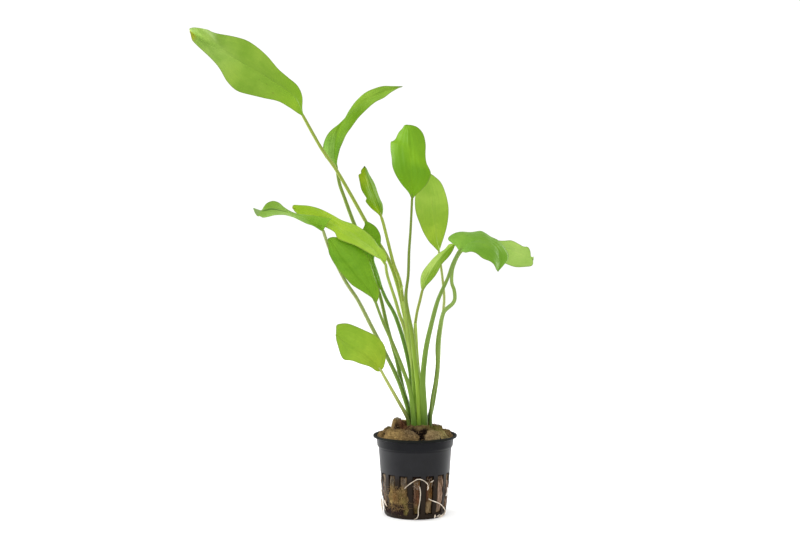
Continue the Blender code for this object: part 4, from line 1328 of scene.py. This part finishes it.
def wool_top(x, y):
    """The height of the wool's torn top, and how deep in a crack that place is."""
    far = math.hypot(x, y)
    base = WOOL_RIM_HEIGHT + 3.6 * (1 - smooth_step(12.0, 24.0, far))
    place = Vector((x, y, 0.0))
    bent_x = x + 2.0 * noise.noise(place * 0.28) + 0.9 * noise.noise(place * 0.95)
    bent_y = y + 2.0 * noise.noise(place * 0.28 + Vector((9.0, 0.0, 0.0))) + 0.7 * noise.noise(place * 0.9)
    height = base
    for chunk_x, chunk_y, top, reach_x, reach_y in WOOL_CHUNKS:
        away = math.hypot((bent_x - chunk_x) / reach_x, (bent_y - chunk_y) / reach_y)
        height = max(height, base + (top - base) * smooth_step(1.0, 0.45, away))
    torn = 0.7 * noise.fractal(place * 0.20, 0.9, 2.1, 4)
    torn += 0.55 * abs(noise.noise(place * 0.62)) - 0.75 * abs(noise.noise(place * 1.35)) + 0.25 * noise.noise(place * 2.6)
    crack = 0.0
    for route, depth, width in WOOL_CRACKS:
        away = away_from_line(bent_x, bent_y, route) / width
        crack = max(crack, depth * math.exp(-away * away))
    edge = smooth_step(WOOL_MOUTH, WOOL_MOUTH - 2.2, far)
    return WOOL_RIM_HEIGHT + (height - WOOL_RIM_HEIGHT + torn) * edge - crack * min(1.0, edge * 2), crack


def within(turn, height, region, torn):
    """1 inside a region of the pot's side, whose border is torn, and 0 well outside it."""
    middle, up, reach, reach_up = region
    turned = ((turn - middle + 180) % 360 - 180) / reach
    return smooth_step(1.0, 0.74, math.hypot(turned, (height - up) / reach_up) + 0.28 * torn)


def wool_side(turn, height):
    """The wool's radius at a place on its side, how far it shows there, and how torn it is."""
    wall_inside = radius_at(height) - POT_WALL - 0.3
    pitch = 360.0 / SLOT_COUNT
    apart = (turn - SLOT_TURN) / pitch
    from_slot = abs(apart - round(apart)) * pitch
    slot_half = math.degrees(SLOT_WIDTH / 2 / 21.8)
    in_slot = smooth_step(slot_half - 0.3, slot_half - 2.4, from_slot)
    in_slot *= smooth_step(SLOT_BOTTOM, SLOT_BOTTOM + 1.4, height) * smooth_step(SLOT_TOP, SLOT_TOP - 1.6, height)
    angle = math.radians(turn)
    place = Vector((math.sin(angle) * 21, -math.cos(angle) * 21, height))
    torn = noise.fractal(place * Vector((0.5, 0.5, 0.22)), 0.9, 2.1, 4)
    torn += 0.35 * noise.fractal(place * 1.4, 0.9, 2.1, 3)
    radius = wall_inside + in_slot * (0.95 + 0.6 * torn)
    over = max(within(turn, height, region, torn) for region in (SIDE_BULGE, BULGE_TAIL, FOOT_CRUST))
    swollen = radius_at(height) + 0.7 + 0.6 * torn
    return radius + (swollen - radius) * over, max(in_slot, over), torn, over


def patched(colour, patches, at, up, turns=False):
    """The colour with each patch laid over it, softly at the patch's border."""
    mixed = Vector(colour)
    for middle, middle_up, reach, reach_up, patch in patches:
        away = at - middle
        if turns:
            away = (away + 180) % 360 - 180
        share = math.exp(-((away / reach) ** 2 + ((up - middle_up) / reach_up) ** 2))
        mixed = mixed.lerp(Vector(linear(patch)[:3]), min(1.0, share * 1.15))
    return mixed


def rockwool():
    """The plug of mineral wool: swollen out of the slots, and torn and heaped at the top."""
    columns = SLOT_COUNT * 24
    turns = [360.0 * index / columns for index in range(columns)]
    heights = [1.8 + 42.6 * step / 96 for step in range(97)]
    collar = [(radius_at(height) - POT_WALL - 0.35, height) for height in (45.6, 47.0, 48.6, 50.2)]
    collar += [(24.6, 51.0), (24.95, 51.5)]
    top_rings = 60
    points, tints, painted_shade_amounts, faces = [Vector((0.0, 0.0, 1.8))], [linear(SHADOW_BROWN)[:3]], [(0.0, 0.0, 0.0)], []
    brown, tan, dark = (Vector(linear(colour)[:3]) for colour in ((104, 84, 54), TAN, SHADOW_BROWN))

    def ring(radius_and_height, colour):
        for turn in turns:
            angle = math.radians(turn)
            radius, height = radius_and_height(turn)
            points.append(Vector((radius * math.sin(angle), -radius * math.cos(angle), height)))
            tint, deep = colour(turn, points[-1])
            tints.append(tuple(tint))
            painted_shade_amounts.append((deep, 0.0, 0.0))

    for level in heights:
        foot = 1.2 * (1 - smooth_step(1.8, 3.4, level))

        def side_colour(turn, point, level=level):
            _, shown, torn, over = wool_side(turn, level)
            spiked = 3.4 * noise.noise(Vector((turn * 0.45, 0.0, level * 0.10)))
            sideways = (turn + 180) % 360 - 180
            crusted = smooth_step(-17, -23, sideways) * smooth_step(-76, -68, sideways)
            crusted *= smooth_step(10.8, 9.2, level + spiked)
            tint = patched(brown, SIDE_PATCHES, turn, level, turns=True)
            tint = tint.lerp(Vector(linear(CRUST)[:3]), crusted)
            # Painted shade where the wool lies behind the ribs, in its torn hollows and near the slots' bottoms, and a
            # little over the crust.
            deep = (1 - shown) * 0.9 + shown * smooth_step(0.0, -0.8, torn) * 0.5
            return tint, max(deep, 0.6 * smooth_step(5.0, 3.0, level) * (1 - over), 0.35 * crusted)

        ring(lambda turn, level=level, foot=foot: (wool_side(turn, level)[0] - foot, level), side_colour)
    # The collar inside the lip is painted shade.
    for radius, level in collar:
        ring(lambda turn, radius=radius, level=level: (radius, level), lambda turn, point: (brown, 0.8))
    for step in range(1, top_rings + 1):
        reach = WOOL_MOUTH * (1 - step / (top_rings + 1))

        def top_point(turn, reach=reach):
            angle = math.radians(turn)
            return reach, wool_top(reach * math.sin(angle), -reach * math.cos(angle))[0]

        def top_colour(turn, point):
            crack = wool_top(point.x, point.y)[1]
            mottle = 0.5 + 0.9 * noise.noise(point * 0.22)
            tint = patched(brown.lerp(tan, max(0.0, min(1.0, mottle))), TOP_PATCHES, point.x, point.y)
            # Painted shade in the cracks, darker where a crack is deeper.
            return tint, min(1.0, crack / 1.3)

        ring(top_point, top_colour)
    # The middle of the top, under the crown, is painted dark as shade.
    points.append(Vector((0.0, 0.0, wool_top(0.0, 0.0)[0])))
    tints.append(tuple(dark))
    painted_shade_amounts.append((0.3, 0.0, 0.0))
    rings = (len(points) - 2) // columns
    for index in range(columns):
        following = (index + 1) % columns
        faces.append((0, 1 + following, 1 + index))
        for level in range(rings - 1):
            low, high = 1 + level * columns, 1 + (level + 1) * columns
            faces.append((low + index, low + following, high + following, high + index))
        last = 1 + (rings - 1) * columns
        faces.append((last + index, last + following, len(points) - 1))
    finish = wool_skin("wool_skin")
    piece = mesh_piece("mineral_wool", points, faces, finish, {"wool_tint": tints, "wool_painted_shade": painted_shade_amounts})
    return dress(piece, "mineral_wool", "rockwool")


def fibre_strands(name, count, seed, place, finish, slot, thick=0.09, long=(2.5, 6.5)):
    """Loose strands that stand off a surface, each a thin bent tube."""
    rng = random.Random(seed)
    points, faces = [], []
    for _ in range(count):
        root, out = place(rng)
        along = (out + Vector([rng.uniform(-1, 1) for _ in range(3)]) * 1.1).normalized()
        bend = Vector([rng.uniform(-1, 1) for _ in range(3)]) * 0.55
        reach = rng.uniform(*long)
        line = []
        for step in range(6):
            share = step / 5
            line.append(root + along * reach * (share - 0.12) + bend * reach * share * share * 0.6)
        line = [point for point in line]
        radii = [thick * (1.0 - 0.6 * step / 5) for step in range(6)]
        corners, quads, _ = tube_data(line, radii, 3, start=len(points))
        points += corners
        faces += quads
    piece = mesh_piece(name, points, faces, finish)
    return dress(piece, slot)


def top_place(rng):
    """A place on the torn top of the wool, and the way out of it."""
    turn, share = rng.uniform(0, TAU), math.sqrt(rng.uniform(0.04, 1.0))
    x, y = 24.0 * share * math.sin(turn), -24.0 * share * math.cos(turn)
    height, _ = wool_top(x, y)
    return Vector((x, y, height)), Vector((x * 0.02, y * 0.02, 0.45))


def side_place(rng):
    """A place on the wool in a slot or on the bulge, and the way out of it."""
    number = rng.randrange(SLOT_COUNT)
    turn = SLOT_TURN + number * 360.0 / SLOT_COUNT + rng.uniform(-6.0, 6.0)
    height = rng.uniform(SLOT_BOTTOM + 0.8, SLOT_TOP - 1.0)
    radius = wool_side(turn, height)[0]
    angle = math.radians(turn)
    out = Vector((math.sin(angle), -math.cos(angle), 0.0))
    return out * radius + Vector((0, 0, height)), out * 0.1


def bulge_place(rng):
    bulge_turn, bulge_height, bulge_reach, bulge_up = SIDE_BULGE
    turn = bulge_turn + rng.uniform(-0.9, 0.9) * bulge_reach
    height = bulge_height + rng.uniform(-0.9, 0.9) * bulge_up
    radius = wool_side(turn, height)[0]
    angle = math.radians(turn)
    out = Vector((math.sin(angle), -math.cos(angle), 0.0))
    return out * radius + Vector((0, 0, height)), out * 0.12


# Dead sheaths that are left between the stalks: (across, up, away) along each, and half its width and thickness.
SHEATHS = [
    ([(2.6, 74.0, -2.2), (2.2, 88.0, -3.2), (1.0, 104.0, -4.6), (0.4, 116.0, -5.2), (0.0, 125.6, -5.6)], 1.7, 0.36),
    ([(0.4, 84.0, -2.4), (-1.4, 96.0, -2.6), (-3.4, 108.0, -3.0), (-4.7, 116.3, -3.2), (-6.3, 127.4, -3.4),
      (-8.2, 140.0, -3.2)], 1.3, 0.34),
    ([(-9.0, 147.6, -3.0), (-8.6, 149.2, -3.4), (-8.2, 150.4, -3.6)], 0.7, 0.22),
    ([(-8.6, 151.5, -3.2), (-9.6, 154.5, -3.9), (-10.6, 157.5, -4.2), (-11.2, 159.6, -4.4)], 0.2, 0.16),
]


def crown():
    """The crown: the clasping feet of old and new stalks, which stand round the rootstock."""
    points, faces, maps = [], [], []
    rng = random.Random(5)
    middle = Vector((CROWN_MIDDLE[0], CROWN_MIDDLE[1], 0.0))
    for number in range(17):
        turn = TAU * number / 17 + rng.uniform(-0.15, 0.15)
        share = 0.55 + 0.38 * (number % 2)
        foot = middle + Vector((CROWN_REACH[0] * share * math.cos(turn), CROWN_REACH[1] * share * math.sin(turn), 50.5))
        lean = Vector((math.cos(turn), math.sin(turn), 0.0)) * rng.uniform(0.2, 0.9)
        high = rng.uniform(7.0, 8.6)
        out = lean.normalized()
        wool = min(wool_top(foot.x + out.x * reach, foot.y + out.y * reach)[0] for reach in (0.0, 1.2, 2.4))
        high = min(high, max(2.0, wool - foot.z - 0.4))
        line = [foot + Vector((0, 0, high * step / 7)) + lean * (step / 7) ** 2 for step in range(8)]
        radii = []
        for step in range(8):
            grown = 1.9 * (1 - 0.62 * (step / 7) ** 2)
            radii.append((grown, grown * 0.75))
        corners, quads, map_values = tube_data(line, radii, 10, 5, 0.05, len(points))
        points += corners
        faces += quads
        maps += [(turn_value, run, 0.04 + 0.12 * share_value) for turn_value, run, share_value in map_values]
    for line, width, thick in SHEATHS:
        line = spaced_along([seen_at(*point) for point in line], 1.2)
        last = len(line) - 1
        radii = [(width * (1.0 - 0.35 * index / last), thick) for index in range(last + 1)]
        corners, quads, map_values = tube_data(line, radii, 10, 3, 0.08, len(points), Vector((1.0, 0.1, 0.0)))
        points += corners
        faces += quads
        maps += [(turn_value, 45.0 + run, 0.5) for turn_value, run, _ in map_values]
    finish = stalk_skin("crown_skin", (120, 158, 48), (168, 188, 92))
    piece = mesh_piece("crown_sheaths", points, faces, finish, {"stem_map": maps}, 50)
    return dress(piece, "crown_skin", "crown")


ROOT_CLEAR = 0.85
ROOT_LOW_CLEAR = 1.0
ROOT_INSIDE = -0.75
# The roots on the outside of the pot: (turn from the viewer in degrees, height, stand-off in mm).
ROOTS = {
    "root_arch": [
        (-19, 20.2, ROOT_INSIDE), (-15.5, 21.8, ROOT_CLEAR), (-9, 24.0, ROOT_CLEAR),
        (-2, 26.0, ROOT_CLEAR), (3, 27.1, ROOT_CLEAR), (9, 27.0, ROOT_CLEAR), (15, 25.6, ROOT_CLEAR),
        (20, 23.5, ROOT_CLEAR), (23, 20.6, ROOT_INSIDE),
    ],
    "root_long": [
        (7.4, 22.0, ROOT_INSIDE), (8.2, 18.5, ROOT_CLEAR), (8, 15.5, ROOT_CLEAR), (7, 11.5, ROOT_CLEAR),
        (5, 6.8, ROOT_CLEAR), (5, 3.5, ROOT_LOW_CLEAR), (2, 1.3, ROOT_LOW_CLEAR),
        (-2, 0.5, ROOT_LOW_CLEAR),
    ],
    "root_side": [
        (22, 14.2, ROOT_INSIDE), (27, 12.9, ROOT_CLEAR), (35, 11.6, ROOT_CLEAR), (45, 9.9, ROOT_CLEAR),
        (54, 7.7, ROOT_CLEAR), (64, 4.6, ROOT_LOW_CLEAR), (65, 2.1, ROOT_LOW_CLEAR),
        (57, 0.7, ROOT_LOW_CLEAR), (49, 0.6, ROOT_LOW_CLEAR),
    ],
}


# Loose bits of root, as (turn, height, stand-off) and half their thickness in millimetres.
ROOT_BITS = [
    ([(-65, 10.8, 0.7), (-62.5, 9.0, 0.9), (-59, 7.2, 0.7)], 0.5),
    ([(-76, 10.5, 0.5), (-79, 8.0, 1.1), (-77, 5.0, 1.3), (-80, 3.2, 0.8)], 0.30),
    ([(-70, 11.5, 0.4), (-72, 8.5, 0.9), (-69, 5.5, 0.7), (-66, 4.0, 0.9)], 0.20),
    ([(-84, 11.5, 0.5), (-86, 8.5, 1.5), (-84, 5.5, 1.3), (-88, 3.6, 1.1)], 0.30),
    ([(-92, 10.0, 0.6), (-90, 7.5, 1.4), (-93, 4.8, 1.6), (-89, 2.6, 1.0)], 0.26),
    ([(-72, 7.4, 0.8), (-78, 5.8, 1.6), (-83, 4.4, 1.4), (-80, 2.2, 1.2)], 0.24),
    ([(-79, 21.0, 0.3), (-76, 17.0, 0.8), (-78, 12.5, 0.5)], 0.2),
    ([(37, 2.9, 0.8), (36.5, 1.6, 1.2), (36, 0.8, 1.3)], 0.5),
    ([(20.0, 22.8, 0.8), (20.8, 21.2, 0.9), (20.4, 19.8, 0.3)], 0.38),
    ([(25.5, 24.6, 0.3), (28.5, 25.4, 0.7), (31.0, 25.8, 0.3)], 0.22),
    ([(60, 2.6, 0.9), (53, 1.5, 1.2), (47, 2.2, 1.0), (41, 1.3, 0.9)], 0.2),
    ([(58, 1.2, 0.9), (51, 0.8, 1.2), (44, 1.0, 1.0)], 0.22),
]
WHITE_BITS = [
    ([(67.5, 19.2, 0.5), (66.8, 16.2, 1.0), (65.2, 13.6, 0.5)], 0.62),
]
SLOT_ROOT_COUNTS = {0: 0, 1: 0, 2: 6, 3: 4, 13: 2, 14: 0, 15: 0}  # by the number of the slot from the viewer
SLOT_ROOT_COUNT = 3


def roots():
    finish = root_skin("root_skin", (196, 178, 158), (230, 218, 200))
    dull = root_skin("root_dull_skin", (150, 134, 118), (198, 186, 168))
    for name, places in ROOTS.items():
        line = spaced_along([on_pot(*place) for place in places], 0.6)
        radii = [0.29 * (1 + 0.22 * noise.noise(point * 0.9)) for point in line]
        points, faces, _ = tube_data(line, radii, 10)
        piece = mesh_piece(name + "_fine", points, faces, finish if name == "root_side" else dull)
        dress(piece, "root_white", name)
    white = root_skin("root_white_skin", (226, 218, 210), (248, 244, 240))
    for name, bits, skin in (("root_bits", ROOT_BITS, finish), ("root_white_bit", WHITE_BITS, white)):
        points, faces = [], []
        for places, thick in bits:
            line = spaced_along([on_pot(*place) for place in places], 0.5)
            last = len(line) - 1
            radii = [thick * (0.55 + 0.45 * math.sin(math.pi * index / last)) for index in range(last + 1)]
            corners, quads, _ = tube_data(line, radii, 8, start=len(points))
            points += corners
            faces += quads
        dress(mesh_piece(name, points, faces, skin), "root_white")


def slot_roots():
    """Fine roots that run down the wool inside the slots."""
    rng = random.Random(21)
    points, faces = [], []
    for number in range(SLOT_COUNT):
        for _ in range(SLOT_ROOT_COUNTS.get(number, SLOT_ROOT_COUNT)):
            turn = SLOT_TURN + number * 360.0 / SLOT_COUNT + rng.uniform(-5.4, 5.4)
            high, low = rng.uniform(16.0, 27.6), rng.uniform(3.8, 11.0)
            thick, wander = rng.uniform(0.16, 0.36), rng.uniform(-1.2, 1.2)
            line = []
            for step in range(9):
                level = high + (low - high) * step / 8
                swayed = turn + wander * math.sin(step * 0.9) + 0.5 * rng.uniform(-1, 1)
                angle = math.radians(swayed)
                radius = wool_side(swayed, level)[0] + thick * (0.4 if 0 < step < 8 else -1.2)
                line.append(Vector((radius * math.sin(angle), -radius * math.cos(angle), level)))
            line = spaced_along(line, 0.8)
            corners, quads, _ = tube_data(line, [thick] * len(line), 6, start=len(points))
            points += corners
            faces += quads
    finish = root_skin("slot_root_skin", (104, 80, 66), (158, 130, 110))
    dress(mesh_piece("slot_roots", points, faces, finish), "root_white")


def fuzz_place(rng):
    """A place among the fine pale rootlets under the arching root."""
    turn, height = (rng.uniform(-3.5, 7.0), rng.uniform(20.5, 25.0))
    if rng.random() < 0.4:
        turn, height = rng.uniform(19.0, 30.0), rng.uniform(22.5, 27.0)
    angle = math.radians(turn)
    out = Vector((math.sin(angle), -math.cos(angle), 0.0))
    return out * wool_side(turn, height)[0] + Vector((0, 0, height)), out * 0.15


def camera():
    lens = bpy.data.cameras.new("photo_camera")
    lens.sensor_fit = "HORIZONTAL"
    lens.sensor_width = SENSOR_WIDTH
    lens.lens = PHOTO_FOCAL * SENSOR_WIDTH / PHOTO_WIDTH
    lens.clip_start = 0.01
    lens.clip_end = 100.0
    made = bpy.data.objects.new("photo_camera", lens)
    made.location = EYE * MM
    made.rotation_euler = (math.radians(90.0 - CAMERA_DROP), 0.0, 0.0)
    bpy.context.scene.collection.objects.link(made)
    bpy.context.scene.camera = made


def soft_light(name, place, aim, size, power):
    """A soft box of a (width, height) that stands at one place and shines at another, in metres."""
    data = bpy.data.lights.new(name, "AREA")
    data.shape = "RECTANGLE"
    data.size, data.size_y = size
    data.energy = power
    lamp = bpy.data.objects.new(name, data)
    lamp.location = place
    lamp.rotation_euler = (Vector(aim) - Vector(place)).to_track_quat("-Z", "Y").to_euler()
    bpy.context.scene.collection.objects.link(lamp)


def studio():
    """A white sweep, lit softly from the front left and more strongly from both sides behind."""
    world = bpy.data.worlds.new("studio")
    world.use_nodes = True
    sky = world.node_tree.nodes["Background"]
    sky.inputs["Color"].default_value = (1.0, 1.0, 1.0, 1.0)
    sky.inputs["Strength"].default_value = 1.06
    bpy.context.scene.world = world
    middle = (0.0, 0.0, 0.13)
    soft_light("key", (-0.5, -1.4, 0.9), middle, (1.4, 1.2), 6.5)
    soft_light("left_strip", (-1.15, 0.30, 0.35), middle, (0.45, 1.0), 17.0)
    soft_light("right_strip", (0.95, 0.85, 0.35), middle, (0.4, 1.0), 15.0)
    reach = 4000.0
    corners = [(-reach, -reach, 0.0), (reach, -reach, 0.0), (reach, reach, 0.0), (-reach, reach, 0.0)]
    floor = mesh_piece("floor", corners, [(0, 1, 2, 3)], floor_skin("floor_skin"))
    bpy.context.scene.view_settings.view_transform = "Standard"


camera()
studio()
pot()
rockwool()
crown()
for leaf_name in LEAVES:
    stalk(leaf_name, LEAVES[leaf_name], LOOKS[leaf_name])
    blade(leaf_name, LEAVES[leaf_name], LOOKS[leaf_name])
roots()
slot_roots()
fibre_strands("root_fuzz", 90, 14, fuzz_place, fibre_skin("fuzz_skin", (176, 166, 156)), "root_white", 0.09, (0.9, 2.4))
fibre_strands("wool_fibres_top", 420, 11, top_place, fibre_skin("fibre_top_skin", (150, 122, 82)), "mineral_wool", 0.08, (1.6, 4.2))
fibre_strands("wool_fibres_side", 420, 12, side_place, fibre_skin("fibre_side_skin", (140, 112, 78)), "mineral_wool", 0.07, (1.5, 4.5))
fibre_strands("wool_fibres_bulge", 260, 13, bulge_place, fibre_skin("fibre_bulge_skin", (168, 140, 94)), "mineral_wool", 0.08, (1.8, 5.0))
